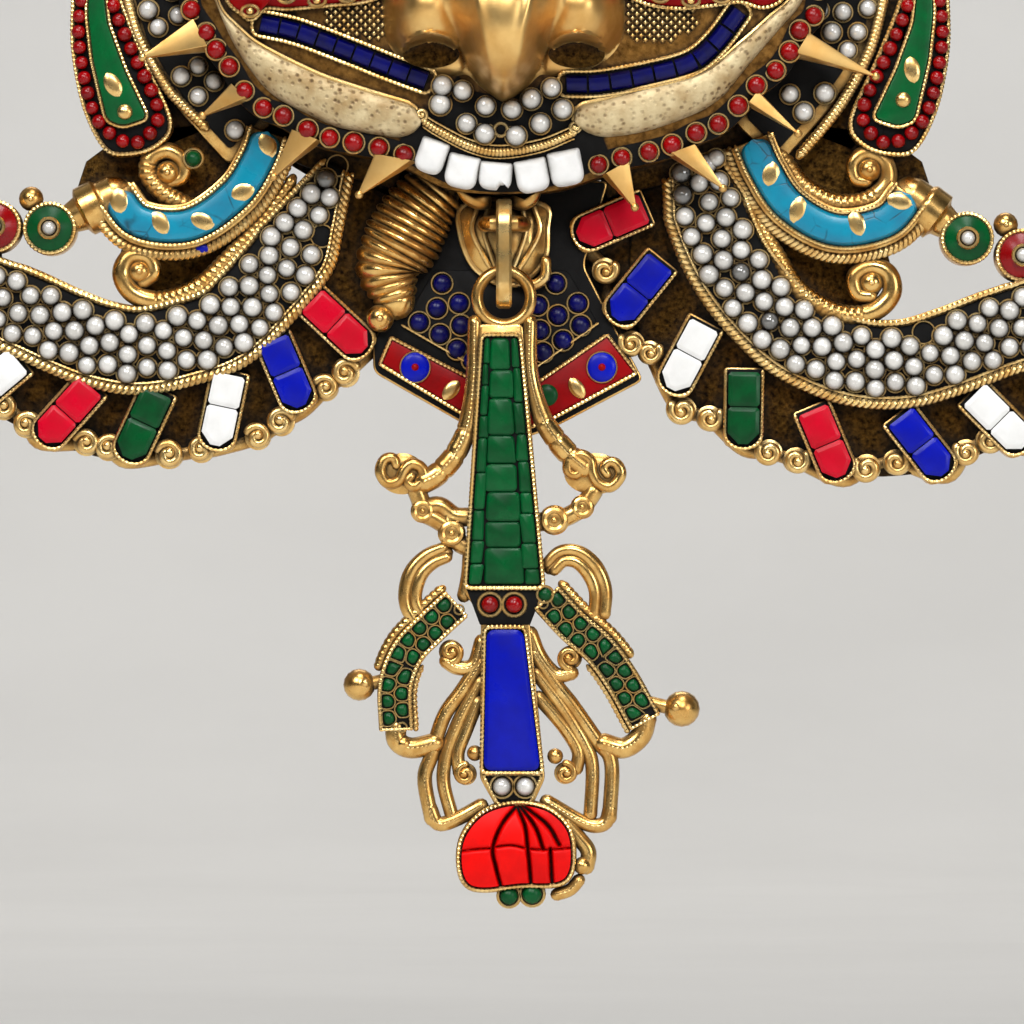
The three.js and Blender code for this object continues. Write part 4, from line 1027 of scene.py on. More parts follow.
def set_bump(tree, shader, height, strength, distance):
    """Lets a height value roughen the surface."""
    bumps = add_node(tree, "ShaderNodeBump", {"Height": height, "Strength": strength, "Distance": distance})
    tree.links.new(bumps.outputs["Normal"], shader.inputs["Normal"])


def start_material(name):
    material = bpy.data.materials.new(name)
    material.use_nodes = True
    tree = material.node_tree
    return material, tree, tree.nodes["Principled BSDF"]


def brass_finish(name, bright, deep, grime_and_shade_colour, smoothness, bump, size=260.0, grime_and_shade_share=1.0):
    """Polished brass, warmer and cooler in clouds, with dark grime and painted shade in its recesses."""
    material, tree, shader = start_material(name)
    grime_and_shade = use_group(tree, GRIME_AND_SHADE, 500.0)
    drift = use_group(tree, DRIFT, size)
    metal = mix_colours(tree, drift["Cloud"], bright, deep)
    # Grime and painted shade: recesses darken towards the grime colour by ambient occlusion, which also dulls
    # the metal.
    dirt_and_shade = sum_of(tree, grime_and_shade["Grime_and_shade"], grime_and_shade_share, "MULTIPLY")
    tree.links.new(mix_colours(tree, dirt_and_shade, metal, grime_and_shade_colour), shader.inputs["Base Color"])
    tree.links.new(span(tree, dirt_and_shade, 0.0, 1.0, 1.0, 0.35), shader.inputs["Metallic"])
    rough = sum_of(tree, span(tree, drift["Cloud"], 0.0, 1.0, smoothness, smoothness + 0.14),
                   span(tree, dirt_and_shade, 0.0, 1.0, 0.0, 0.4))
    tree.links.new(rough, shader.inputs["Roughness"])
    set_bump(tree, shader, drift["Height"], bump, 0.0004)
    return material


def stone_finish(name, bright, deep, smoothness, size=180.0, bump=0.12, gloss=1.5, grime_and_shade_colour=None):
    """A stone with clouded colour that differs from one to the next, and dark grime and painted shade along
    its setting.
    """
    material, tree, shader = start_material(name)
    grime_and_shade = use_group(tree, GRIME_AND_SHADE, 700.0)
    drift = use_group(tree, DRIFT, size)
    each = add_node(tree, "ShaderNodeNewGeometry").outputs["Random Per Island"]
    tone = sum_of(tree, sum_of(tree, drift["Cloud"], 0.55, "MULTIPLY"), sum_of(tree, each, 0.45, "MULTIPLY"))
    body = mix_colours(tree, tone, bright, deep)
    flecked = mix_colours(tree, span(tree, drift["Speck"], 0.0, 1.0, 0.0, 0.25), body, deep)
    # Painted shade and grime: the stone darkens where ambient occlusion finds its setting and neighbours.
    edge = span(tree, grime_and_shade["Grime_and_shade"], 0.25, 1.0, 0.0, 0.9)
    shade = grime_and_shade_colour or tuple(c * 0.12 for c in deep[:3]) + (1.0,)
    tree.links.new(mix_colours(tree, edge, flecked, shade), shader.inputs["Base Color"])
    tree.links.new(span(tree, drift["Cloud"], 0.0, 1.0, smoothness, smoothness + 0.12),
                   shader.inputs["Roughness"])
    shader.inputs["IOR"].default_value = gloss
    set_bump(tree, shader, drift["Height"], bump, 0.0003)
    return material


def turquoise_finish():
    """Turquoise with dark veins between its patches."""
    material, tree, shader = start_material("turquoise_veined")
    grime_and_shade = use_group(tree, GRIME_AND_SHADE, 700.0)
    drift = use_group(tree, DRIFT, 140.0)
    where = add_node(tree, "ShaderNodeTexCoord").outputs["Object"]
    cells = add_node(tree, "ShaderNodeTexVoronoi", {"Vector": where, "Scale": 170.0},
                     feature="DISTANCE_TO_EDGE")
    vein = span(tree, cells.outputs["Distance"], 0.0, 0.035, 1.0, 0.0)
    shown = sum_of(tree, vein, span(tree, drift["Cloud"], 0.35, 0.75, 0.0, 0.9), "MULTIPLY")
    body = mix_colours(tree, drift["Cloud"], linear(0, 136, 166), linear(0, 108, 140))
    veined = mix_colours(tree, shown, body, linear(4, 40, 52))
    # Painted shade and grime at the setting, from ambient occlusion.
    edge = span(tree, grime_and_shade["Grime_and_shade"], 0.25, 1.0, 0.0, 0.85)
    tree.links.new(mix_colours(tree, edge, veined, linear(4, 20, 24)), shader.inputs["Base Color"])
    tree.links.new(span(tree, drift["Cloud"], 0.0, 1.0, 0.26, 0.42), shader.inputs["Roughness"])
    set_bump(tree, shader, sum_of(tree, drift["Height"], shown, "SUBTRACT"), 0.15, 0.0003)
    return material


def stippled_finish():
    """Pale worn brass of the cheek bands, pitted all over by a punch."""
    material, tree, shader = start_material("cheek_stippled_brass")
    grime_and_shade = use_group(tree, GRIME_AND_SHADE, 600.0)
    drift = use_group(tree, DRIFT, 220.0)
    where = add_node(tree, "ShaderNodeTexCoord").outputs["Object"]
    pits = add_node(tree, "ShaderNodeTexVoronoi", {"Vector": where, "Scale": 780.0})
    pit = span(tree, pits.outputs["Distance"], 0.1, 0.4, 1.0, 0.0)
    deep = sum_of(tree, pit, span(tree, drift["Cloud"], 0.1, 0.9, 0.25, 1.0), "MULTIPLY")
    body = mix_colours(tree, drift["Cloud"], linear(214, 196, 154), linear(164, 136, 90))
    pitted = mix_colours(tree, deep, body, linear(92, 66, 34))
    # Grime and painted shade in recesses and beside neighbouring parts, from ambient occlusion.
    tree.links.new(mix_colours(tree, grime_and_shade["Grime_and_shade"], pitted, linear(38, 24, 10)), shader.inputs["Base Color"])
    tree.links.new(span(tree, drift["Cloud"], 0.0, 1.0, 0.35, 0.2), shader.inputs["Metallic"])
    tree.links.new(span(tree, drift["Speck"], 0.0, 1.0, 0.5, 0.65), shader.inputs["Roughness"])
    set_bump(tree, shader, sum_of(tree, drift["Height"], deep, "SUBTRACT"), 0.6, 0.0006)
    return material


def pearl_finish(name, bright, deep, side_shade_colour, smoothness):
    """Pearl painted lighter on its front-facing middle as a painted highlight, greying towards its sides as
    painted shade, and darker in painted shade where it sinks into its collet.
    """
    material, tree, shader = start_material(name)
    grime_and_shade = use_group(tree, GRIME_AND_SHADE, 700.0)
    drift = use_group(tree, DRIFT, 420.0)
    geometry = add_node(tree, "ShaderNodeNewGeometry")
    facing = add_node(tree, "ShaderNodeSeparateXYZ", {
        "Vector": add_node(tree, "ShaderNodeTexCoord").outputs["Normal"]}).outputs["Y"]
    # Painted shade and highlight: the colour greys as the surface turns away from the front, leaving the
    # middle lighter.
    side = span(tree, facing, -0.88, -0.3, 0.0, 1.0)
    tone = sum_of(tree, sum_of(tree, drift["Cloud"], 0.4, "MULTIPLY"),
                  sum_of(tree, geometry.outputs["Random Per Island"], 0.6, "MULTIPLY"))
    body = mix_colours(tree, tone, bright, deep)
    side_shaded = mix_colours(tree, side, body, side_shade_colour)
    # Painted shade and grime where ambient occlusion finds the collet and neighbouring beads.
    dirt_and_shade = span(tree, grime_and_shade["Grime_and_shade"], 0.3, 1.0, 0.0, 0.9)
    tree.links.new(mix_colours(tree, dirt_and_shade, side_shaded, linear(34, 26, 18)), shader.inputs["Base Color"])
    tree.links.new(span(tree, drift["Speck"], 0.0, 1.0, smoothness, smoothness + 0.15),
                   shader.inputs["Roughness"])
    shader.inputs["IOR"].default_value = 2.0
    set_bump(tree, shader, drift["Height"], 0.05, 0.0003)
    return material


BRASS = brass_finish("cast_brass", linear(240, 198, 122), linear(196, 144, 74), linear(26, 15, 4), 0.2, 0.10)
WIRE = brass_finish("wire_brass", linear(250, 218, 150), linear(214, 166, 92), linear(34, 20, 6), 0.22, 0.05)
NOSE_BRASS = brass_finish("polished_brass", linear(240, 200, 128), linear(212, 162, 90), linear(60, 38, 12),
                          0.3, 0.05, 120.0, 0.5)
# Dark brass of the face ground, darkened as grime and as painted shade between the raised work on it.
GROUND_GRIME_AND_SHADE = brass_finish("ground_brass_grime_and_shade", linear(150, 108, 52), linear(84, 56, 22), linear(12, 7, 2), 0.36, 0.5,
                      700.0)
# Rough brass of the sunk floors and webs, so dark that it also paints the shade of the recesses and gaps
# behind the raised work.
ROUGH_AND_SHADE = brass_finish("rough_brass_and_painted_shade", linear(92, 66, 28), linear(26, 18, 8), linear(5, 3, 2), 0.42, 0.8, 1100.0)
CHEEK = stippled_finish()
# The third colour of the pearl and glass beads is the painted shade on their sides.
PEARL = pearl_finish("pearl", linear(222, 220, 215), linear(176, 173, 167), linear(52, 45, 36), 0.2)
GLASSY = pearl_finish("clouded_glass", linear(120, 119, 116), linear(70, 69, 68), linear(34, 30, 26), 0.12)
LAC = stone_finish("black_lac", linear(11, 10, 9), linear(5, 4, 4), 0.6, 300.0, 0.3, 1.25, linear(2, 2, 2))
TURQUOISE = turquoise_finish()
STONES = {
    "crimson": stone_finish("crimson_stone", linear(214, 0, 42), linear(176, 0, 26), 0.26, gloss=1.3),
    "royal_blue": stone_finish("royal_blue_stone", linear(0, 22, 186), linear(0, 8, 138), 0.26, gloss=1.3),
    "white": stone_finish("white_stone", linear(238, 238, 237), linear(216, 216, 214), 0.3, 200.0, 0.2, 1.42,
                          linear(96, 90, 82)),
    "green": stone_finish("green_stone", linear(0, 90, 42), linear(0, 50, 20), 0.26, 240.0, gloss=1.3),
    "coral": stone_finish("coral", linear(156, 0, 6), linear(100, 0, 2), 0.2, 300.0, gloss=1.4),
    "lapis": stone_finish("lapis", linear(0, 4, 96), linear(0, 0, 48), 0.26, 300.0, gloss=1.32),
    "enamel": stone_finish("red_enamel", linear(160, 0, 6), linear(116, 0, 2), 0.34, 260.0, 0.12, 1.22),
    "lotus_red": stone_finish("lotus_red", linear(232, 4, 0), linear(200, 0, 0), 0.36, 260.0, 0.12, 1.25),
}


def make_piece(name, shells, material, body="mask", nodes=(), crease=38):
    """Turns gathered shells into a piece that rides on its body."""
    mesh = bpy.data.meshes.new(name)
    mesh.from_pydata(place(np.vstack(shells.points)).tolist(), [], shells.faces)
    work = bmesh.new()
    work.from_mesh(mesh)
    bmesh.ops.recalc_face_normals(work, faces=work.faces)
    work.to_mesh(mesh)
    work.free()
    mesh.polygons.foreach_set("use_smooth", np.ones(len(mesh.polygons), bool))
    mesh.set_sharp_from_angle(angle=math.radians(crease))
    mesh.materials.append(material)
    piece = bpy.data.objects.new(name, mesh)
    bpy.context.scene.collection.objects.link(piece)
    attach(piece, body)
    if nodes:
        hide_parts(*nodes)
    return piece


casting = Shells()
wires = Shells()
lac = Shells()
rough = Shells()
leaves = Shells()
spikes = Shells()
loose_pearls = Shells()
ground = Shells()

# Face dome, open behind, with the hanging pad and its nail hole.
jaw_halves = []
for side, sign in SIDES:
    jaw = beside(CORALS[side], -sign * JAW_LIP)
    jaw_halves.append(np.vstack([[(9 * sign, -4.6)], jaw, mirrored(FACE_TOP[:-1], sign)]))
    slab(rough, strip(CORALS[side], 6.5, 6.5), 3.8, 9, 0.4)
face_line = flowing(np.vstack([jaw_halves[1], FACE_TOP[-1:], jaw_halves[0][::-1]]), 2.0, True)
hollow_line = grow(face_line, -SHELL_WALL)
face_rings = []
for size in np.linspace(0.02, 1, 26):
    flat = np.array(FACE_CORE) + (face_line - FACE_CORE) * size
    face_rings.append(on_face(flat, 0))
face_rings += [at_depth(face_line, 0), at_depth(hollow_line, 0), at_depth(hollow_line, HOLLOW_DEPTH)]
face_rings.append(at_depth(np.array(FACE_CORE) + (hollow_line - FACE_CORE) * 0.02, HOLLOW_DEPTH))
skin(ground, face_rings)
nail = circle(0, NAIL_HEIGHT, NAIL_RADIUS, 24)
around = nail - (0, NAIL_HEIGHT)
reach = (np.array(PAD_HALF_SIZE) / np.maximum(np.abs(around), 1e-6)).min(axis=1)
pad_edge = around * reach[:, None] + (0, PAD_MIDDLE)
skin(casting, [
    at_depth(pad_edge, 0), at_depth(pad_edge, PAD_FRONT), at_depth(nail, PAD_FRONT), at_depth(nail, 0),
], True)


def ease(value, low, high):
    """Rises smoothly from 0 to 1 between low and high."""
    t = np.clip((value - low) / (high - low), 0, 1)
    return t * t * (3 - 2 * t)


nose_heights = smooth(NOSE_HEIGHTS)
nose_widths = smooth(NOSE_WIDTHS)


def nostril_shadow_floor(x, z, share):
    return face_depth(x, z) + 1.8 - 0.2 * share ** 2


def nose_front(x, z, share):
    """A beak with two soft ridges, a rounded wing each side and an arched hollow under each wing."""
    across = np.abs(x)
    height = np.interp(z, nose_heights[:, 0], nose_heights[:, 1])
    width = np.interp(z, nose_widths[:, 0], nose_widths[:, 1])
    beak = height * np.clip(1 - (across / width) ** 2.4, 0, 1) ** 0.6
    beak += 0.8 * np.exp(-((across - width * 0.42) / 1.1) ** 2) * ease(z, 14, 20)
    wing = 15 * np.clip(1 - ((across - 15.4) / 9.6) ** 2 - ((z - 31) / 10) ** 2, 0, 1) ** 0.55
    body = (beak ** 4 + wing ** 4) ** 0.25
    arch = ((across - 14.4) / 6.8) ** 2 + ((z - 20.2) / 5.2) ** 2
    body += 1.3 * np.exp(-((arch - 1.16) / 0.16) ** 2) * ease(z, 18.6, 20.5)
    open_arch = 1 - ease(arch, 0.72, 1.02)
    body = body * (1 - open_arch) + 1.6 * open_arch
    return face_depth(x, z) + np.maximum(body, 0.4) * (1 - share ** 12)


nose = Shells()
nose_line = flowing(both_halves(NOSE_EDGE), 0.6, True)
mound(nose, nose_line, NOSE_MIDDLE, NOSE_BACK, nose_front, 64)
# A dark rough-brass mound in each nostril stands for the shadow there: painted shade.
for side, sign in SIDES:
    middle = (NOSTRIL_MIDDLE[0] * sign, NOSTRIL_MIDDLE[1])
    mound(rough, ellipse(*middle, *NOSTRIL_HALF_SIZE), middle, NOSE_BACK - 1, nostril_shadow_floor, 6)

# Brows, horns, diadem and crown.
for side, sign in SIDES:
    face_strip(casting, mirrored(BROW_PATH, sign), (3.6, 2.6), 4.6, 4)
    ribbed(casting, flowing(mirrored(HORN_PATH, sign), 1.0), (6, 5, 3.4, 1.2), 3.2, 0.12, 16)
    for edge in (1, -1):
        milled(wires, on_face(beside(mirrored(BROW_PATH, sign), 2.6 * edge), 4.2), 0.5)
face_strip(casting, DIADEM_PATH, 2.8, 2.4, 4)
for edge in (2.6, -2.6):
    rope(wires, on_face(beside(DIADEM_PATH, edge), 2.2), 0.7)
for x in np.linspace(-DIADEM_BEAD_REACH, DIADEM_BEAD_REACH, DIADEM_BEADS):
    z = np.interp(x, *np.transpose(DIADEM_PATH))
    ball(wires, x, z, face_depth(x, z) + 2.2, 1.5)
crown_line = rounded(both_halves(CROWN_EDGE), 2.0)
slab(casting, crown_line, 5, 13, 0.8)
tube(wires, at_depth(spaced(grow(crown_line, -0.6), 1.0, True), 13), 0.6, 8, True)
for name, x, z, radius in CROWN_STONES:
    slab(casting, circle(x, z, radius + 1.2, 32), 6, 15, 0.5)
    milled(wires, at_depth(circle(x, z, radius + 0.7, 48), 15.1), 0.5, loop=True)
slab(casting, circle(*FOREHEAD_JEWEL, 7.4, 36), 14, 34, 0.6)
milled(wires, at_depth(circle(*FOREHEAD_JEWEL, 6.6, 60), 34.1), 0.6, loop=True)


def dome_on_face(rim_lift, rise, power):
    """A front rule for a form that rises from its rim to its middle over the face."""
    return lambda x, z, share: face_depth(x, z) + rim_lift + rise * (1 - share ** power)


def make_eye(side, sign):
    """An eye under a red lid with gold rings."""
    x, z = EYE_CENTRE[0] * sign, EYE_CENTRE[1]
    lid_edge = flowing(mirrored(LID_EDGE[side] + LID_TOP, sign), 1.0, True)
    lids = Shells()
    mound(lids, lid_edge, (x, z), 16, dome_on_face(1, 3.2, 4), 10)
    make_piece(f"eye_lid_{side}", lids, STONES["enamel"])
    milled(wires, on_face(spaced(grow(lid_edge, 0.2), 0.8, True), 1.2), 0.45, loop=True)
    tube(wires, on_face(ellipse(x, z, 12.9, 6.1, 60), 3.9), 0.6, 8, True)
    lid_rings = [tuple(spot) for spot in ellipse(x, z, 15.8, 10.2, 16)]
    for at in lid_rings + LID_CORNER_RING[side]:
        tube(wires, on_face(ellipse(*at, 1.7, 1.1, 20), 3.7), 0.34, 6, True)
        ball(wires, *at, face_depth(*at) + 3.4, 0.8)
    eye = Shells()
    mound(eye, ellipse(x, z, 12.4, 5.6, 56), (x, z), 24, dome_on_face(3.4, 2.6, 2), 8)
    make_piece(f"eye_white_{side}", eye, STONES["white"], nodes=[f"eye_{side}"])
    pupil = Shells()
    mound(pupil, circle(x, z, 4.2, 32), (x, z), 26, dome_on_face(6, 0.9, 2), 6)
    make_piece(f"pupil_{side}", pupil, STONES["lapis"])


for side, sign in SIDES:
    make_eye(side, sign)


def in_steps(points, count):
    """A flowing line cut into equal steps."""
    line = smooth(points)
    return spaced(line, np.linalg.norm(np.diff(line, axis=0), axis=1).sum() / count)


def inside(patch, at):
    """Whether a point lies within a closed outline that has no hollows."""
    edge = np.roll(patch, -1, axis=0) - patch
    to_point = at - patch
    turn = edge[:, 0] * to_point[:, 1] - edge[:, 1] * to_point[:, 0]
    return np.all(turn > 0) or np.all(turn < 0)


def half_round(u):
    """How far a rounded band stands up at a share across it."""
    return np.sqrt(np.maximum(0, 1 - (2 * u - 1) ** 2))


def pillow(u):
    """How far a cushion shaped stone stands up at a share across it."""
    return np.sqrt(np.maximum(0, 1 - (2 * u - 1) ** 4))


cheeks = Shells()


def make_cheek(side):
    """A cheek band with its wire, the lapis moustache and the hatched patch beside the nose."""
    upper = in_steps(CHEEK_UPPER[side], CHEEK_STEPS)
    lower = in_steps(CHEEK_LOWER[side], CHEEK_STEPS)
    from_mouth = np.clip(np.linspace(0, 1, len(upper)) / 0.07, 0.02, 1)
    narrowing = (0.5 * (1 - np.sqrt(from_mouth * (2 - from_mouth))))[:, None]
    upper, lower = upper + (lower - upper) * narrowing, lower + (upper - lower) * narrowing
    ribbon(cheeks, upper, lower, face_depth, lambda u: 0.6 + 2.0 * half_round(u), 1.5, 10)
    tube(wires, on_face(upper[::2], 0.7), 0.5, 8)
    line, way, share = walk(MOUSTACHE[side], 1.0)
    face_strip(lac, MOUSTACHE[side], 2.7, 0.7, 1.5)
    for edge in (2.5, -2.5):
        milled(wires, on_face(line + way * edge, 1.0), 0.42)
    bow = np.linspace(0, math.pi, 9)[:, None]
    for end, before in ((0, 1), (-1, -2)):
        outward = unit(line[end] - line[before])
        end_bow = line[end] + way[end] * 2.5 * np.cos(bow) + outward * 1.6 * np.sin(bow)
        milled(wires, on_face(end_bow, 1.0), 0.42)
    tiles = Shells()
    marks = np.linspace(0, 1, MOUSTACHE_TILES + 1)
    for first, last in zip(marks, marks[1:]):
        shares = np.linspace(first + 0.006, last - 0.006, 6)
        tile_line = np.stack([np.interp(shares, share, line[:, k]) for k in (0, 1)], 1)
        face_strip(tiles, tile_line, 1.75, 1.7 + hand.uniform(-0.15, 0.2), 1.0, 0.8, 6, 4.0)
    make_piece(f"moustache_tiles_{side}", tiles, STONES["lapis"], nodes=[f"moustache_lapis_{side}"])
    patch = np.asarray(HATCH[side])
    middle = patch.mean(axis=0)
    for row in range(-9, 10):
        for column in range(-9, 10):
            at = middle + np.array((row + column, row - column)) * HATCH_PITCH
            if inside(patch, at):
                level = face_depth(*at)
                cabochon(wires, circle(*at, 0.72, 4), level - 0.5, level + 0.1, level + 0.75, 2)


for side, sign in SIDES:
    make_cheek(side)
make_piece("cheek_bands", cheeks, CHEEK)

# Corals in wire collets on a black strip round the jaw, and the spikes beyond them.
for side, sign in SIDES:
    face_strip(lac, CORALS[side], 2.2, 0.6, 2.0)
    beads = Shells()
    for x, z in CORALS[side]:
        size = 1.8 + hand.uniform(-0.1, 0.12)
        ball(beads, x, z, face_depth(x, z) + 1.0, size, 0.9)
        collet(wires, x, z, face_depth(x, z) + 0.9, size + 0.22, 0.24)
    make_piece(f"cheek_coral_beads_{side}", beads, STONES["coral"], nodes=[f"cheek_corals_{side}"])
    for corner_a, corner_b, tip in SPIKES[side]:
        spike(spikes, corner_a, corner_b, tip)

# Lips, teeth, tongue and the staple that carries the link.
lip_line = flowing(LIP_ROPE, 0.8)
face_strip(lac, UPPER_LIP_BED, 5.6, 0.9, 2.0)
# A black lac strip behind and under the teeth, standing for the shadow there: painted shade.
face_strip(lac, TOOTH_SHADOW_BED, 4.4, 0.5, 2.0)
ribbed(wires, on_face(lip_line, 1.1), (0.8, 1.0, 0.8), 0.75, 0.16, 10)
milled(wires, on_face(lip_line + (0, 1.3), 1.2), 0.25)
milled(wires, on_face(lip_line - (0, 1.2), 1.0), 0.25)
for at, sense in ((lip_line[0], 1), (lip_line[-1], -1)):
    curl(wires, at[0] - sense * 0.4, at[1] + 1.2, face_depth(*at) + 1.4, 1.6, 270, sense)
pearls = Shells()
for x, z in LIP_PEARLS:
    size = 2.06 + hand.uniform(-0.12, 0.12)
    ball(pearls, x, z, face_depth(x, z) + 2.0, size)
    collet(wires, x, z, face_depth(x, z) + 1.2, size + 0.1, 0.18)
collet(wires, *EMPTY_LIP_COLLET, face_depth(*EMPTY_LIP_COLLET) + 1.2, 1.3, 0.34)
make_piece("lip_pearl_beads", pearls, PEARL, nodes=["lip_pearls"])


def chipped(outline, at):
    """A tooth's outline with a bite out of it."""
    from_chip = outline - at
    apart = np.linalg.norm(from_chip, axis=1, keepdims=True)
    bitten = at + (0, CHIP_RADIUS) + (from_chip - (0, apart.min())) * 0.5
    return np.where(apart < CHIP_RADIUS, bitten, outline)


def tooth_front(level):
    """A front rule for a tooth: flat, faintly uneven, and rounded off at its edge."""
    def front(x, z, share):
        return level - 1.3 * share ** 6 + 0.14 * np.sin(x * 1.3 + z * 0.9) * (1 - share ** 8)
    return front


for index, (x, z, width, height, tilt) in enumerate(TEETH):
    tooth = Shells()
    outline = spaced(rounded(box_outline(x, z, width, height, tilt), (2.4, 2.4, 0.6, 0.6), 6), 0.35, True)
    if index == CHIPPED_TOOTH:
        outline = chipped(outline, np.array((x + 1.4, z - height / 2 - 0.2)))
    level = TOOTH_FRONT + hand.uniform(-0.2, 0.2)
    mound(tooth, outline, (x, z), TOOTH_BACK, tooth_front(level), 8)
    make_piece(f"tooth_face_{index + 1}", tooth, STONES["white"], nodes=[f"tooth_{index + 1}"])
bar_height = LINK_TOP - (LINK_OUTER - LINK_INNER) - SEAT_GAP - BAR_RADIUS
tube(casting, [(x, bar_height, depth) for x, depth in STAPLE], BAR_RADIUS, 16)
for lobe in LIP_LOBES:
    cabochon(casting, smooth(lobe, True, 6), 12, 19, 21)


def tongue_front(x, z, share):
    return 15.6 - 4 * share ** 2 + 0.7 * np.cos(x * 1.1) * (1 - share)


tongue_edge = smooth(TONGUE_EDGE, True)
mound(casting, tongue_edge, TONGUE_MIDDLE, 6, tongue_front, 12)
tube(wires, at_depth(spaced(grow(tongue_edge, -0.3), 1.0, True), 11.9), 0.6, 8, True)
for x, bend in TONGUE_FOLDS:
    fold = flowing([(x, -7.6), (x + bend, -12), (x * 0.8, -17), (x * 0.4, -20.5)])
    tube(wires, at_depth(fold, 14.6), 0.55, 8)
tube(wires, at_depth(flowing(TONGUE_TIP_CURL), 13.2), 1.1, 10)

# Chin fan: lapis cabochons in rings on lac, and a red enamel band with ovals and leaves.
chin_line = rounded(CHIN_EDGE, 1.5)
slab(casting, chin_line, 4, CHIN_FACE, 0.5)
slab(lac, grow(chin_line, -0.4), LAC_BACK, CHIN_FACE + 0.3, 0.2)
slab(lac, rounded(CHIN_FIELD, 1.0), 8.2, CHIN_FACE + 0.7, 0.3)
milled(wires, at_depth(spaced(CHIN_FIELD[1:6], 0.6), CHIN_WIRE_DEPTH), 0.28)
lapis = Shells()
for x, z in CHIN_BEADS:
    ball(lapis, x, z, CHIN_BEAD_DEPTH, 1.78, 0.7)
    collet(wires, x, z, CHIN_BEAD_DEPTH, 2.15, 0.2)
make_piece("chin_lapis_beads", lapis, STONES["lapis"], nodes=["chin_lapis"])
band = Shells()
slab(band, CHIN_ENAMEL, 8.2, CHIN_WIRE_DEPTH, 0.3)
make_piece("chin_enamel_band", band, STONES["enamel"], nodes=["chin_enamel"])
edge_wire(wires, grow(CHIN_ENAMEL, 0.4), CHIN_WIRE_DEPTH, 0.42, 0.6)
ovals = Shells()
centres = Shells()
for x, z in CHIN_OVALS:
    cabochon(ovals, ellipse(x, z, 2.9, 3.0, 32), 10, 11.4, 12.0)
    tube(wires, at_depth(ellipse(x, z, 3.0, 3.1, 32), 11.4), 0.16, 6, True)
    ball(centres, x, z, 11.5, 0.9)
make_piece("chin_blue_ovals", ovals, STONES["royal_blue"])
make_piece("chin_oval_dots", centres, STONES["enamel"])
for x, z, degrees in CHIN_LEAVES:
    leaf(leaves, x, z, 11.4, 4.8, 2.8, degrees)
chin_dot = Shells()
cabochon(chin_dot, circle(*CHIN_DOT, 2.2, 24), 10, 11.3, 11.9)
make_piece("chin_green_dot", chin_dot, STONES["green"])
horn_line = flowing(RIBBED_HORN, 0.5)
ribbed(casting, at_depth(horn_line, 10.5), (6.0, 7.6, 8.2, 7, 4.0), 1.75, 0.11, 40, 0.95)
ball(casting, *RIBBED_HORN_BALL, 12, 2.8)
ball(wires, *RIBBED_HORN_BALL, 14.4, 0.8)


def tray_half(side):
    """The half width of a wing's bead tray, as a rule by share from its inner end."""
    start = 2 if side == "left" else 5
    return lambda u: np.minimum(np.minimum(7.2, start + 34 * u), 2.4 + 18 * (1 - u))


def rim_reach(u):
    """How far the wing's floor reaches out beyond the middle of its tray."""
    return np.minimum(24.2 - 6.6 * u ** 2, 12 + 60 * u) - np.where(u > 0.86, (u - 0.86) * 40, 0)


def near(points, x, z, reach):
    return any(math.hypot(p[0] - x, p[1] - z) < reach for p in points)


def nearest(points, x, z):
    return min(points, key=lambda p: math.hypot(p[0] - x, p[1] - z))


def packed_spots(path, half, pitch, inset):
    """Bead places inside a strip, pushed apart until they lie evenly, as beads do in a tray."""
    line, way, share = walk(path, 0.4)
    heading = np.stack([way[:, 1], -way[:, 0]], 1)
    reach = half(share)
    gone = np.concatenate([[0], np.cumsum(np.linalg.norm(np.diff(line, axis=0), axis=1))])
    spots = []
    mark, shift = inset, 0.25
    while mark < gone[-1] - inset:
        k = np.searchsorted(gone, mark)
        room = max(0.05, reach[k] - inset)
        count = max(1, round(2 * room / pitch + 0.7))
        for number in range(count):
            offset = (2 * (number + 0.5 + shift * (count > 1)) / count - 1) * room
            spots.append(line[k] + way[k] * offset)
        shift = -shift
        mark += count * pitch ** 2 * 0.86 / (2 * reach[k])
    spots = np.array(spots)
    for _ in range(140):
        apart = spots[:, None] - spots[None]
        distance = np.linalg.norm(apart, axis=2) + np.eye(len(spots)) * 99
        push = np.clip(pitch - distance, 0, None) / distance
        spots = spots + 0.3 * (apart * push[:, :, None]).sum(axis=1)
        k = np.linalg.norm(spots[:, None] - line[None], axis=2).argmin(axis=1)
        aside = ((spots - line[k]) * way[k]).sum(axis=1)
        along = ((spots - line[k]) * heading[k]).sum(axis=1)
        room = np.maximum(0.05, reach[k] - inset)
        aside = np.clip(aside, -room, room)[:, None]
        along = np.clip(along, -0.4, 0.4)[:, None]
        spots = line[k] + way[k] * aside + heading[k] * along
    return [tuple(spot) for spot in spots]


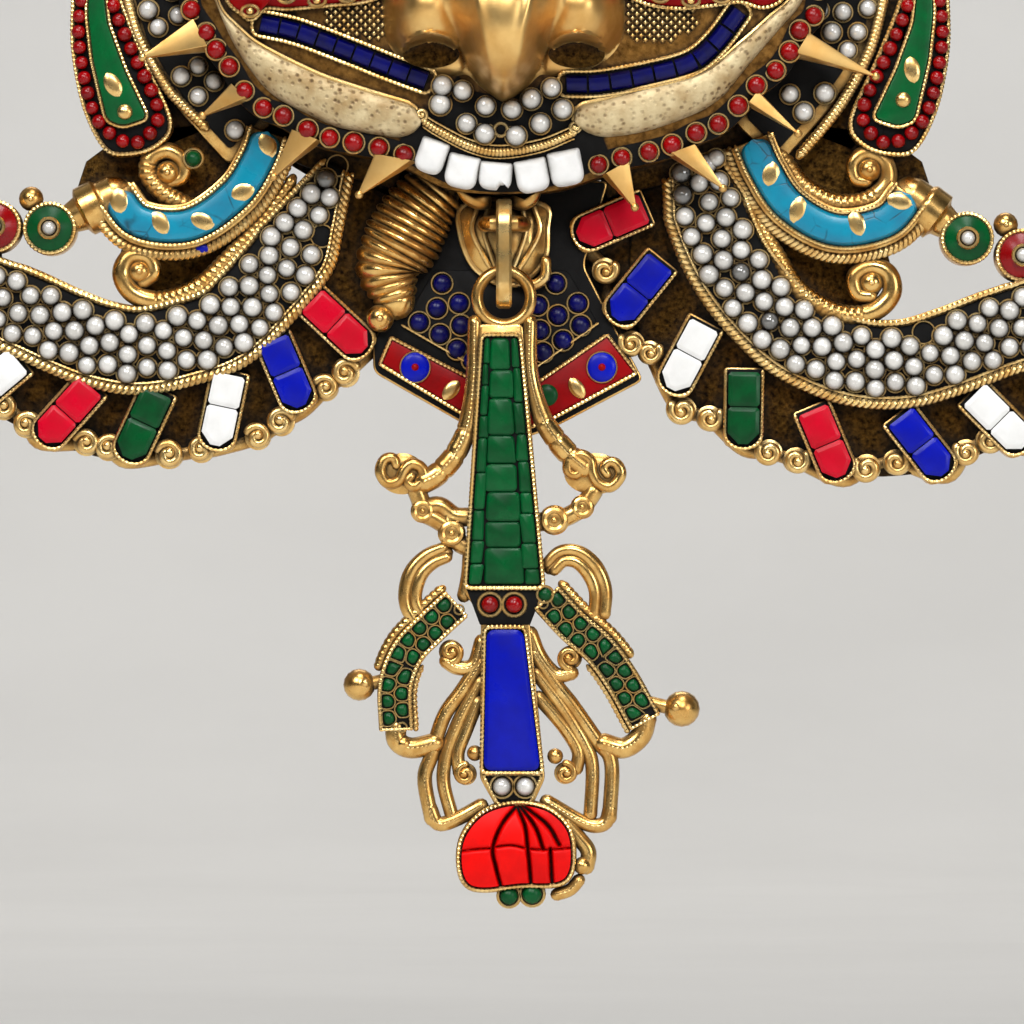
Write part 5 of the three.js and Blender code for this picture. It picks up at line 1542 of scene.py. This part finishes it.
def make_wing_tray(side, sign, wing_wires):
    """A wing's floor, its tray of pearls and the ropes along the tray."""
    path = WING_PATH[side]
    half = tray_half(side)

    def wall(u):
        return half(u) + WING_WALL

    floor_edges = (wall, rim_reach) if sign > 0 else (rim_reach, wall)
    slab(rough, strip(path, *floor_edges), *WING_FLOOR, 0.5)
    slab(casting, strip(path, wall, wall), *WING_TRAY, 0.4)
    slab(lac, strip(path, half, half), LAC_BACK, WING_BED, 0.2)
    inner_rope = beside(path, lambda u: -sign * (half(u) + 1.0))
    inner_wire = beside(path, lambda u: -sign * (half(u) - 0.3))
    outer_wire = beside(path, lambda u: sign * (half(u) + 0.8))
    rope(wing_wires, at_depth(inner_rope, WING_WIRE_DEPTH), 1.1, 1.25)
    milled(wing_wires, at_depth(inner_wire, WING_WIRE_DEPTH), 0.4)
    milled(wing_wires, at_depth(outer_wire, WING_WIRE_DEPTH), 0.7, 1.1)

    beads, glass = Shells(), Shells()
    spots = packed_spots(path, half, PEARL_PITCH, 2.2)
    empty = [nearest(spots, x, z) for x, z in EMPTY_COLLETS if x * sign > 0]
    filled = [spot for spot in spots if spot not in empty]
    cloudy = [nearest(filled, x, z) for x, z in GLASS_BEADS if x * sign > 0]
    for spot in spots:
        size = PEARL_RADIUS + hand.uniform(-0.14, 0.1)
        collet(wing_wires, *spot, PEARL_COLLET_DEPTH, size + 0.14, 0.18)
        if spot not in empty:
            ball(glass if spot in cloudy else beads, *spot, PEARL_DEPTH, size)
    make_piece(f"wing_pearl_beads_{side}", beads, PEARL, nodes=[f"wing_pearls_{side}"])
    make_piece(f"wing_clouded_beads_{side}", glass, GLASSY)


def make_wing_stone(side, index, wing_wires):
    """A baguette in two halves, its frame and wire. Gives back the frame's outer end."""
    x, z, lean, *length = WING_STONES[side][index]
    long = length[0] if length else TILE_LENGTH
    angle = math.radians(lean)
    down = np.array((math.sin(angle), -math.cos(angle)))
    right = np.array((math.cos(angle), math.sin(angle)))
    centre = np.array((x, z))
    corners = box_outline(x, z, TILE_WIDTH, long, lean)
    slab(casting, rounded(grow(corners, 0.85), (2.8, 2.8, 0.8, 0.8)), *TILE_FRAME, 0.3)
    slab(lac, rounded(grow(corners, 0.5), (2.5, 2.5, 0.6, 0.6)), LAC_BACK, TILE_BED, 0.2)
    start = centre - down * (long / 2 + 0.3)
    end = centre + down * (long / 2 - 2.2)
    out = right * (TILE_WIDTH / 2 + 0.55)
    bend = [end + out * math.cos(turn) + down * 3.0 * math.sin(turn) for turn in np.linspace(0, math.pi, 13)]
    frame_wire = np.array([start + out, *bend, start - out])
    milled(wing_wires, at_depth(spaced(frame_wire, 0.5), TILE_WIRE_DEPTH), 0.4)
    tiles = Shells()
    split = hand.uniform(-0.05, 0.07) * long
    for way, radius, lower_front in ((-1, 0.5, 0.15), (1, (2.2, 2.2, 0.5, 0.5), 0.2)):
        middle = centre + down * way * (long / 2 + split * way) / 2
        half_tile = box_outline(*middle, TILE_WIDTH, long / 2 - split * way - 0.2, lean)
        front = TILE_FRONT + hand.uniform(-lower_front, 0.1)
        cut_stone(tiles, half_tile, radius, LAC_BACK, front, 0.8, 0.4, 1)
    make_piece(f"wing_baguette_{side}_{index + 1}", tiles, STONES[STONE_COLOURS[side][index]], crease=14,
               nodes=[f"wing_stone_{side}_{index + 1}"])
    return centre + down * (long / 2 + 0.7)


def make_wing_rim(side, sign, ends, wing_wires):
    """The wing's curled rim, with spare curls wherever two stones have none between them."""
    curls = list(RIM_CURLS[side])
    for first, last in zip(ends, ends[1:]):
        if not near(curls, *((first + last) / 2), RIM_CURL_GAP):
            curls += [(*(first + (last - first) * share), SPARE_CURL_RADIUS) for share in (0.34, 0.66)]
    line, way, share = walk(WING_PATH[side], 0.5)
    edge = [*ends, *(np.array(spot[:2]) for spot in curls)]
    edge.sort(key=lambda p: np.linalg.norm(line - p, axis=1).argmin())
    tube(casting, at_depth(flowing(edge, 1.0), 6.0), 1.5, 10)
    for number, (x, z, radius) in enumerate(curls):
        sense = 1 if number % 2 else -1
        curl(wing_wires, x, z, RIM_CURL_DEPTH, radius * RIM_CURL_SIZE, 90 + 60 * sense, sense * sign)


for side, sign in SIDES:
    wing_wires = Shells()
    make_wing_tray(side, sign, wing_wires)
    ends = [make_wing_stone(side, index, wing_wires) for index in range(len(WING_STONES[side]))]
    make_wing_rim(side, sign, ends, wing_wires)
    make_piece(f"wing_wires_{side}", wing_wires, WIRE)


def arm_level(x, z):
    return np.full(len(x), ARM_STONE_DEPTH)


def make_arm(side, sign, arm_wires):
    """An arm with its turquoise, leaves and rope, on the webs behind it."""
    # The webs are near-black rough brass: painted shade in the gaps between arm, ear, jaw and chin.
    for number, web in enumerate((ARM_WEB, EAR_WEB, JAW_WEB, CHIN_WEB)):
        slab(rough, mirrored(web, sign), WEB_BACK + WEB_BACK_STEP * number, WEB_FRONT, 0.4)
    arm = ARM_PATH[side]
    slab(casting, strip(arm, ARM_HALF_WIDTH, ARM_HALF_WIDTH), *ARM_PLATE, 0.5)
    for edge in (3.6, -3.6):
        milled(arm_wires, at_depth(beside(arm, edge, 1.0), ARM_WIRE_DEPTH), 0.45)
    stones = Shells()
    line, way, share = walk(arm, 0.6)
    from_end = np.clip(np.minimum(share, 1 - share) / 0.06, 0, 1)
    reach_out = way * ARM_STONE_HALF_WIDTH * np.sqrt(np.maximum(0.01, 1 - (1 - from_end) ** 2))[:, None]
    ribbon(stones, line + reach_out, line - reach_out, arm_level, lambda u: 0.6 + 1.3 * pillow(u), 3.0, 9)
    make_piece(f"arm_turquoise_face_{side}", stones, TURQUOISE, nodes=[f"arm_turquoise_{side}"])
    rope(arm_wires, at_depth(beside(arm, -sign * 5.4, 1.0), 11.5), 1.3, 1.1)
    for x, z, degrees in ARM_LEAVES[side]:
        leaf(leaves, x, z, 15.3, 5.6, 3.8, degrees)


def make_mane(side, sign, arm_wires):
    """A mane pocket with its rope and loose pearls."""
    slab(casting, rounded(mirrored(MANE_EDGE, sign), 2.0), 3.1, 11.6, 0.5)
    slab(lac, rounded(grow(mirrored(MANE_EDGE, sign), -2.2), 1.0), LAC_BACK, 12.3, 0.3)
    ribbed(arm_wires, at_depth(flowing(MANE_ROPE[side]), 12.4), (1.1, 1.2, 1.1), 0.9, 0.12, 10)
    for x, z in MANE_PEARLS[side]:
        size = 1.9 + hand.uniform(-0.15, 0.15)
        ball(loose_pearls, x, z, 13.2, size)
        collet(arm_wires, x, z, 12.6, size + 0.15, 0.2)


def make_ear(side, sign, arm_wires):
    """An ear with its long green stone and the corals round it."""
    ear_step = (EAR_SHIFT[side], 0)
    ear_line = flowing(mirrored(EAR_EDGE, sign) + ear_step, 1.2, True)
    slab(casting, ear_line, *EAR_PLATE, 0.5)
    slab(lac, grow(ear_line, -0.9), LAC_BACK, EAR_PLATE[1] + 0.3, 0.3)
    edge_wire(arm_wires, grow(ear_line, -0.4), EAR_PLATE[1] + 0.4, 0.5, 0.6)
    ear_stone = Shells()
    stone_line = spaced(rounded(mirrored(EAR_STONE, sign) + ear_step, 1.2), 0.8, True)
    slab(ear_stone, stone_line, 9.5, EAR_STONE_FRONT, 0.45)
    make_piece(f"ear_green_{side}", ear_stone, STONES["green"], nodes=[f"ear_stone_{side}"])
    edge_wire(arm_wires, grow(stone_line, 0.4), EAR_STONE_FRONT - 0.8, 0.42, 0.6)
    leaf(leaves, *EAR_LEAF[side], EAR_STONE_FRONT + 0.1, 5.4, 3.2, 80 * sign + 20)
    ball(leaves, *EAR_DOT[side], EAR_STONE_FRONT - 0.1, 1.6, 0.6)
    beads = Shells()
    for x, z in flowing(mirrored(EAR_BEAD_PATH, sign) + ear_step, 3.1):
        ball(beads, x, z, 13.2, 1.48 + hand.uniform(-0.1, 0.06))
    make_piece(f"ear_coral_beads_{side}", beads, STONES["coral"], nodes=[f"ear_corals_{side}"])


def disc_front(x, z, share):
    return np.full(len(x), DISC_FRONT - 2.2 * share ** 1.4)


def make_discs(side, sign, arm_wires):
    """The two round stones at an arm's end, its cuff and ball, and the scrolls round the arm."""
    spot = DISCS[side]
    for colour, stone in (("green", "green"), ("red", "coral")):
        x, z = spot[colour]
        slab(casting, circle(x, z, DISC_RADIUS + 0.75, 40), 2.9, 11.6, 0.5)
        edge_wire(arm_wires, circle(x, z, DISC_RADIUS + 0.35, 48), 11.9, 0.48)
        disc = Shells()
        mound(disc, circle(x, z, DISC_RADIUS - 0.1, 40), (x, z), 9, disc_front, 8)
        make_piece(f"disc_{colour}_face_{side}", disc, STONES[stone], nodes=[f"disc_{colour}_{side}"])
        ball(loose_pearls, x, z, DISC_FRONT, 1.5)
        collet(arm_wires, x, z, DISC_FRONT, 1.9, 0.4)
    ball(casting, *spot["ball"], 9.5, 2.5)
    ball(arm_wires, *spot["ball"], 11.8, 0.6)
    arm_end, disc_middle = np.array(ARM_PATH[side][-1]), np.array(spot["green"])
    cuff_line = [(*(arm_end + (disc_middle - arm_end) * share), CUFF_DEPTH) for share in (0, 0.4, 1)]
    cuff = flowing(cuff_line, 0.4)
    tube(casting, cuff, np.interp(np.linspace(0, 1, len(cuff)), *CUFF_PROFILE), 20)
    x, z = spot["red"]
    slab(rough, rounded(box_outline(x + 6 * sign, z - 4, 14, 8, 0), 1.0), 3.5, 7, 0.4)
    ribbed(casting, at_depth(flowing(ARM_SCROLL[side], 0.5), 10.5), (1.7, 2.1, 2.0, 1.7, 1.2), 1.4, 0.09,
           plain_from=0.55)
    ribbed(casting, at_depth(flowing(STEM_SCROLL[side], 0.5), 10.8), (1.2, 1.7, 2.1, 2.0, 1.4), 1.4, 0.1,
           plain_from=0.62)
    for eye in (ARM_SCROLL_EYE[side], STEM_SCROLL_EYE[side]):
        ball(casting, *eye, 10.6, 2.5)
        ball(arm_wires, *eye, 12.9, 0.7)


for side, sign in SIDES:
    arm_wires = Shells()
    make_arm(side, sign, arm_wires)
    make_mane(side, sign, arm_wires)
    make_ear(side, sign, arm_wires)
    make_discs(side, sign, arm_wires)
    make_piece(f"arm_and_ear_wires_{side}", arm_wires, WIRE)
chip = Shells()
cabochon(chip, ellipse(*ARM_BLUE_CHIP, 1.5, 1.0, 20), 9, 12.2, 12.9)
make_piece("arm_blue_chip", chip, STONES["royal_blue"])
bead = Shells()
ball(bead, *ARM_GREEN_BEAD, 12.6, 1.6)
make_piece("arm_green_bead", bead, STONES["green"])
collet(wires, *ARM_GREEN_BEAD, 12.4, 1.9, 0.34)

make_piece("mane_and_disc_pearls", loose_pearls, PEARL)

# Jewels of the diadem and crown.
for name, x, z, radius in CROWN_STONES:
    jewel = Shells()
    cabochon(jewel, circle(x, z, radius, 32), 11, 14.6, 17.4)
    make_piece(f"{name}_dome", jewel, STONES["lapis" if name.endswith("middle") else "coral"], nodes=[name])
jewel = Shells()
cabochon(jewel, circle(*FOREHEAD_JEWEL, 5.8, 36), 30, 33.8, 36.5)
make_piece("forehead_jewel_dome", jewel, STONES["coral"], nodes=["forehead_jewel"])
for side, sign in SIDES:
    stones = Shells()
    line, way, share = walk(mirrored(BROW_PATH, sign), 1.0)
    reach_out = np.interp(share, (0, 1), (1.7, 1.1))[:, None]
    ribbon(stones, line + way * reach_out, line - way * reach_out, face_depth,
           lambda u: 4.4 + 1.4 * pillow(u), -2.6, 7)
    make_piece(f"brow_turquoise_face_{side}", stones, TURQUOISE, nodes=[f"brow_turquoise_{side}"])


def stadium(top, bottom, radius, steps=10):
    """A long slot outline in depth and height about the pivot's depth."""
    turn = np.linspace(0, math.pi, steps)
    upper = np.stack([radius * np.cos(turn), top - radius + radius * np.sin(turn)], 1)
    lower = np.stack([-radius * np.cos(turn), bottom + radius - radius * np.sin(turn)], 1)
    return np.vstack([upper, lower])


def standing(outline, x):
    """A depth and height outline stood at one x."""
    return np.column_stack([np.full(len(outline), x), outline[:, 1], PIVOT_DEPTH + outline[:, 0]])


def link_edge(inset, x):
    """The link's outer edge drawn in by inset, at one x."""
    return standing(stadium(LINK_TOP - inset, LINK_BOTTOM + inset, LINK_OUTER - inset), x)


# The link: a slotted plate with eased edges.
link = Shells()
slot_top = LINK_TOP - (LINK_OUTER - LINK_INNER)
slot_bottom = PIVOT_HEIGHT - RING_WIRE - SEAT_GAP
slot_edge = stadium(slot_top, slot_bottom, LINK_INNER)
sections = [link_edge(inset, -half_thick) for inset, half_thick in LINK_SECTION]
sections += [standing(slot_edge, x) for x in (-LINK_SLOT_HALF_THICK, LINK_SLOT_HALF_THICK)]
sections += [link_edge(inset, half_thick) for inset, half_thick in LINK_SECTION[::-1]]
skin(link, sections, True)
make_piece("link_plate", link, WIRE, nodes=["mouth_link"])

# Pendant: ring, spine, panels, scrollwork, scale bands and lotus.
pendant = Shells()
fine = Shells()
bed = Shells()
small_greens = Shells()
ring = circle(0, PIVOT_HEIGHT - RING_RADIUS, RING_RADIUS, 48)
tube(pendant, at_depth(ring, PIVOT_DEPTH), RING_STOUT, 14, True)
slab(pendant, rounded(SPINE, 1.0), PENDANT_BACK, PENDANT_PLATE, 0.4)
for panel in (GREEN_PANEL, BLUE_PANEL):
    edge_wire(fine, rounded(grow(panel, 0.5), 1.2), 24.0, 0.5)
    slab(bed, grow(panel, 0.2), 21, PENDANT_BED, 0.2)

mosaic = Shells()
top, foot = GREEN_PANEL[0][1] - 0.2, GREEN_PANEL[2][1] + 0.2
for column, (first, last) in enumerate(GREEN_COLUMNS):
    high = top
    while high > foot + 0.5:
        low = high - hand.uniform(*GREEN_TILE_HEIGHTS)
        low = foot if low < foot + 1.8 else low
        corners = []
        for z, shares in ((low, (first, last)), (high, (last, first))):
            left = np.interp(z, (-83, -33.6), (-7.0, -3.8))
            right = np.interp(z, (-83, -33.6), (7.2, 2.6))
            lift = 0.04 if z == low else -0.04
            for share in shares:
                inset = 0.04 if share == first else -0.04
                wander = hand.uniform(-0.35, 0.35) if 0 < share < 1 else 0
                corners.append((left + (right - left) * share + inset + wander, z + lift))
        front = 24.3 + hand.uniform(-0.3, 0.4)
        cut_stone(mosaic, corners, 1.1 if column == 1 else 0.6, PENDANT_STONE_BACK, front, 0.35, 0.35, 4)
        high = low
make_piece("pendant_green_mosaic", mosaic, STONES["green"], "pendant", nodes=["pendant_green_panel"])
blue = Shells()
cut_stone(blue, BLUE_PANEL, 1.8, PENDANT_STONE_BACK, 24.8, 0.6, 0.5, 5)
make_piece("pendant_blue_slab", blue, STONES["royal_blue"], "pendant", nodes=["pendant_blue_panel"])


def lying(points, step=0.6):
    """A flowing line at the middle of the pendant's depth."""
    return at_depth(flowing(points, step), PENDANT_MIDDLE)


# Bands that leave the green panel and end in double volutes.
for line in PANEL_BANDS:
    path = lying(line, 0.4)
    along = np.linspace(0, 1, len(path))
    size = np.interp(along, (0, 0.4, 0.8, 1), (1.4, 1.7, 2.3, 2.4))
    for groove in (0.62, 0.76, 0.88):
        size = size * (1 - 0.12 * np.exp(-((along - groove) / 0.008) ** 2))
    tube(pendant, path + (0, 0, 0.6), size, 16)
    milled(fine, path + np.outer(size * 0.95 + 0.6, (0, 0, 1)), 0.34)
for line, (x, z, half_width, half_height) in zip(VOLUTES, VOLUTE_BACKS):
    cabochon(pendant, ellipse(x, z, half_width, half_height, 36), PENDANT_BACK + 0.4, PENDANT_MIDDLE + 0.6,
             PENDANT_MIDDLE + 1.6)
    path = at_depth(flowing(line, 0.4), PENDANT_MIDDLE + 1.6)
    tube(pendant, path, np.interp(np.linspace(0, 1, len(path)), (0, 0.2, 0.8, 1), (0.9, 1.15, 1.15, 0.9)), 10)

# Small curls below them, with balls.
for line in LOWER_CURLS:
    tube(pendant, lying(line), 1.9, 10)
for x, z, radius in CURL_BALLS:
    button(pendant, x, z, PENDANT_MIDDLE + 0.6, radius)

# Twin-ribbed hooks beside the foot of the green panel.
for line in HOOKS:
    for edge in (-1.05, 1.05):
        path = at_depth(beside(line, edge, 0.6), PENDANT_MIDDLE + 0.4)
        tube(pendant, path, np.interp(np.linspace(0, 1, len(path)), (0, 0.5, 1), (1.1, 1.45, 1.2)), 12)
    tube(pendant, at_depth(flowing(line), PENDANT_MIDDLE - 0.6), 1.7, 10)


def scale_half(u):
    """Half the width of a scale band's bed, the same all along it."""
    return np.full(len(u), SCALE_HALF_WIDTH)


# Scale bands of green beads netted with wire, a ribbed rail outside each and a ball at the elbow.
for side, sign in SIDES:
    line = SCALE_PATH[side]
    slab(pendant, strip(line, 3.5, 3.5, 1.0), PENDANT_BACK, 22.8, 0.5)
    slab(bed, strip(line, SCALE_HALF_WIDTH, SCALE_HALF_WIDTH, 1.0), PENDANT_BED_BACK, PENDANT_PLATE, 0.2)
    band_edges = [beside(line, edge, 0.6) for edge in (3.0, -3.0)]
    for edge in band_edges:
        milled(fine, at_depth(edge, SCALE_WIRE_DEPTH), 0.45)
    for end in (0, -1):
        across = np.linspace(band_edges[0][end], band_edges[1][end], 8)
        milled(fine, at_depth(across, SCALE_WIRE_DEPTH), 0.36)
    outer_rail = beside(line, sign * 4.1, 0.6)
    outer_rail = outer_rail[:int(len(outer_rail) * 0.62)]
    ribbed(pendant, at_depth(outer_rail, PENDANT_MIDDLE + 0.4), (1.1, 1.2, 1.1), 1.3, 0.1, 10)
    inner_rail = beside(line, -sign * 3.9, 0.6)
    milled(fine, at_depth(inner_rail[len(inner_rail) // 2:], PENDANT_MIDDLE + 0.8), 0.7, 1.1)
    scales = Shells()
    spots = packed_spots(line, scale_half, SCALE_PITCH, 1.4)
    for cell in nearest_cells(spots, line, scale_half):
        if len(cell) < 3 or np.ptp(cell, axis=0).min() < 1.4:
            continue
        middle = np.mean(cell, axis=0)
        if min(np.linalg.norm(middle - line[0]), np.linalg.norm(middle - line[-1])) < 1.5:
            collet(fine, *middle, SCALE_WIRE_DEPTH, 0.95, 0.2)
            continue
        tube(fine, at_depth(rounded(grow(cell, -0.14), 0.8, 4), SCALE_WIRE_DEPTH), 0.16, 6, True)
        cabochon(scales, rounded(grow(cell, -0.42), 1.3, 5), PENDANT_STONE_BACK, 23.1, 23.9)
    make_piece(f"pendant_scale_beads_{side}", scales, STONES["green"], "pendant",
               nodes=[f"pendant_scales_{side}"])
for (x, z, radius), (side, sign) in zip(ELBOW_BALLS, SIDES):
    ball(pendant, x, z, PENDANT_MIDDLE, radius)
    tube(pendant, lying([(x, z), (x - 3 * sign, z + 0.4), (x - 6.4 * sign, z + 1.2)]), 1.4, 10)
    ball(fine, x - 1.2 * sign, z + 0.4, PENDANT_MIDDLE + radius * 0.8, 0.9)

# Small stones between the panels.
slab(bed, RED_BED, PENDANT_BED_BACK, PENDANT_BED, 0.2)
reds = Shells()
for x, z in RED_BEADS:
    ball(reds, x, z, 23.6, 1.7, 0.8)
    collet(fine, x, z, 23.6, 2.3, 0.36)
make_piece("pendant_red_beads", reds, STONES["coral"], "pendant")
ball(small_greens, *CORNER_GREEN_BEAD, 23.4, 1.3, 0.8)
collet(fine, *CORNER_GREEN_BEAD, 23.5, 1.6, 0.3)
slab(bed, PEARL_BED, PENDANT_BED_BACK, 23.4, 0.2)
edge_wire(fine, rounded(PEARL_BED, 0.8), 23.5, 0.36)
whites = Shells()
for x, z in PENDANT_PEARLS:
    ball(whites, x, z, 23.8, 1.9)
    collet(fine, x, z, 23.3, 2.3, 0.34)
make_piece("pendant_pearls", whites, PEARL, "pendant")

# Milled rods that fan out beside the blue panel, and the scrolls among them.
for line, radius in RODS:
    path = lying(line)
    tube(pendant, path, radius, 12)
    milled(fine, path + (0, 0, radius * 0.9), 0.26, 0.9)
for x, z, radius, start, sense in ROD_CURLS:
    curl(pendant, x, z, PENDANT_MIDDLE + 0.8, radius, start, sense, PENDANT_BACK + 0.3)
for x, z, radius in ROD_BALLS:
    ball(pendant, x, z, PENDANT_MIDDLE + 0.6, radius)

# Lotus: red petals split by dark grooves, in a wire edge, with two green stones under it.
lotus_line = flowing(LOTUS_EDGE, 0.7, True)
slab(pendant, grow(lotus_line, 1.2), PENDANT_BACK, PENDANT_PLATE, 0.5)
slab(bed, grow(lotus_line, 0.3), PENDANT_BED_BACK, PENDANT_BED, 0.2)
edge_wire(fine, grow(lotus_line, 0.6), 23.8, 0.5)


def groove(lines, x, z, depth):
    """How far narrow grooves along some lines sink at each spot."""
    points = np.vstack([flowing(line, 0.2) for line in lines])
    gap = np.linalg.norm(np.stack([x, z], 1)[:, None] - points[None], axis=2).min(axis=1)
    return depth * np.exp(-(gap / 0.26) ** 1.2)


def petals(x, z, share):
    """Domed petals with a deep split or a shallow crease between them."""
    sunk = np.maximum(groove(LOTUS_SPLITS, x, z, 2.9), groove(LOTUS_CREASES, x, z, 1.1))
    return 26.3 - sunk - 1.5 * share ** 2


lotus = Shells()
mound(lotus, spaced(lotus_line, 0.24, True), LOTUS_MIDDLE, PENDANT_STONE_BACK, petals, 60)
make_piece("pendant_lotus_petals", lotus, STONES["lotus_red"], "pendant", nodes=["pendant_lotus"])
for x, z, radius in LOTUS_FOOT_BEADS:
    ball(small_greens, x, z, 22.6, radius, 0.8)
    collet(fine, x, z, 22.6, radius + 0.4, 0.36)
    tube(pendant, [(x, z, PENDANT_BACK + 0.4), (x + 0.01, z + 0.01, 22.2)], radius + 0.2, 14)
make_piece("pendant_green_beads", small_greens, STONES["green"], "pendant")
make_piece("pendant_casting_fine", pendant, BRASS, "pendant", nodes=["pendant_casting"])
make_piece("pendant_wires", fine, WIRE, "pendant")
make_piece("pendant_lac", bed, LAC, "pendant")

make_piece("jaw_spikes", spikes, NOSE_BRASS, crease=20)
make_piece("mask_casting_fine", casting, BRASS, nodes=["mask_casting"])
# The face ground is dark: grime and painted shade between the raised work.
make_piece("face_ground", ground, GROUND_GRIME_AND_SHADE)
make_piece("nose", nose, NOSE_BRASS)
# Sunk floors, webs and nostrils in near-black rough brass, partly painted shade.
make_piece("mask_rough_floors_and_shade", rough, ROUGH_AND_SHADE)
make_piece("face_wires", wires, WIRE)
make_piece("mask_leaves", leaves, WIRE)
make_piece("mask_lac", lac, LAC)

# Stage: a pale floor under the hanging mask that sweeps up behind it, soft lights and the camera.
bend = np.linspace(0, math.pi / 2, 25)
sweep = zip(SWEEP_START + SWEEP_RADIUS * np.sin(bend), FLOOR_HEIGHT + SWEEP_RADIUS * (1 - np.cos(bend)))
profile = [(FLOOR_NEAR, FLOOR_HEIGHT), *sweep, (SWEEP_START + SWEEP_RADIUS, SWEEP_TOP)]
floor_points = [(x, y, z) for y, z in profile for x in (-FLOOR_HALF_WIDTH, FLOOR_HALF_WIDTH)]
floor_faces = [(2 * n, 2 * n + 1, 2 * n + 3, 2 * n + 2) for n in range(len(profile) - 1)]
floor_mesh = bpy.data.meshes.new("floor")
floor_mesh.from_pydata(floor_points, [], floor_faces)
floor_mesh.polygons.foreach_set("use_smooth", np.ones(len(floor_faces), bool))
floor = bpy.data.objects.new("floor", floor_mesh)
bpy.context.scene.collection.objects.link(floor)
floor_material, floor_tree, floor_shader = start_material("pale_floor")
floor_drift = use_group(floor_tree, DRIFT, 3.0)
floor_tone = mix_colours(floor_tree, floor_drift["Cloud"], linear(226, 224, 220), linear(220, 218, 214))
floor_tree.links.new(floor_tone, floor_shader.inputs["Base Color"])
floor_tree.links.new(span(floor_tree, floor_drift["Speck"], 0, 1, 0.7, 0.8), floor_shader.inputs["Roughness"])
floor_mesh.materials.append(floor_material)

world = bpy.data.worlds.new("studio")
bpy.context.scene.world = world
world.use_nodes = True
sky = world.node_tree
direction = add_node(sky, "ShaderNodeTexCoord").outputs["Generated"]
parts = add_node(sky, "ShaderNodeSeparateXYZ", {"Vector": direction})
ahead = span(sky, parts.outputs["Y"], -0.2, 0.6, 0.0, 1.0)
sky.links.new(mix_colours(sky, ahead, linear(48, 46, 44), linear(214, 213, 211)),
              sky.nodes["Background"].inputs["Color"])
sky.nodes["Background"].inputs["Strength"].default_value = 0.6


def soft_light(name, at, target, size, power):
    """A square softbox aimed at a point."""
    data = bpy.data.lights.new(name, "AREA")
    data.shape = "SQUARE"
    data.size = size
    data.energy = power
    light = bpy.data.objects.new(name, data)
    light.location = at
    aim = np.array(target) - np.array(at)
    light.rotation_euler = Vector(aim).to_track_quat("-Z", "Y").to_euler()
    bpy.context.scene.collection.objects.link(light)


for light in LIGHTS:
    soft_light(*light)

camera_data = bpy.data.cameras.new("camera")
camera_data.sensor_width = SENSOR
camera_data.lens = SENSOR * VIEW_DISTANCE / VIEW_WIDTH
camera = bpy.data.objects.new("camera", camera_data)
camera.location = (VIEW_X, VIEW_PLANE - VIEW_DISTANCE, VIEW_HEIGHT)
camera.rotation_euler = (math.pi / 2, 0, 0)
camera_data.clip_end = 50.0
bpy.context.scene.collection.objects.link(camera)
bpy.context.scene.camera = camera

bpy.context.scene.view_settings.view_transform = "Standard"
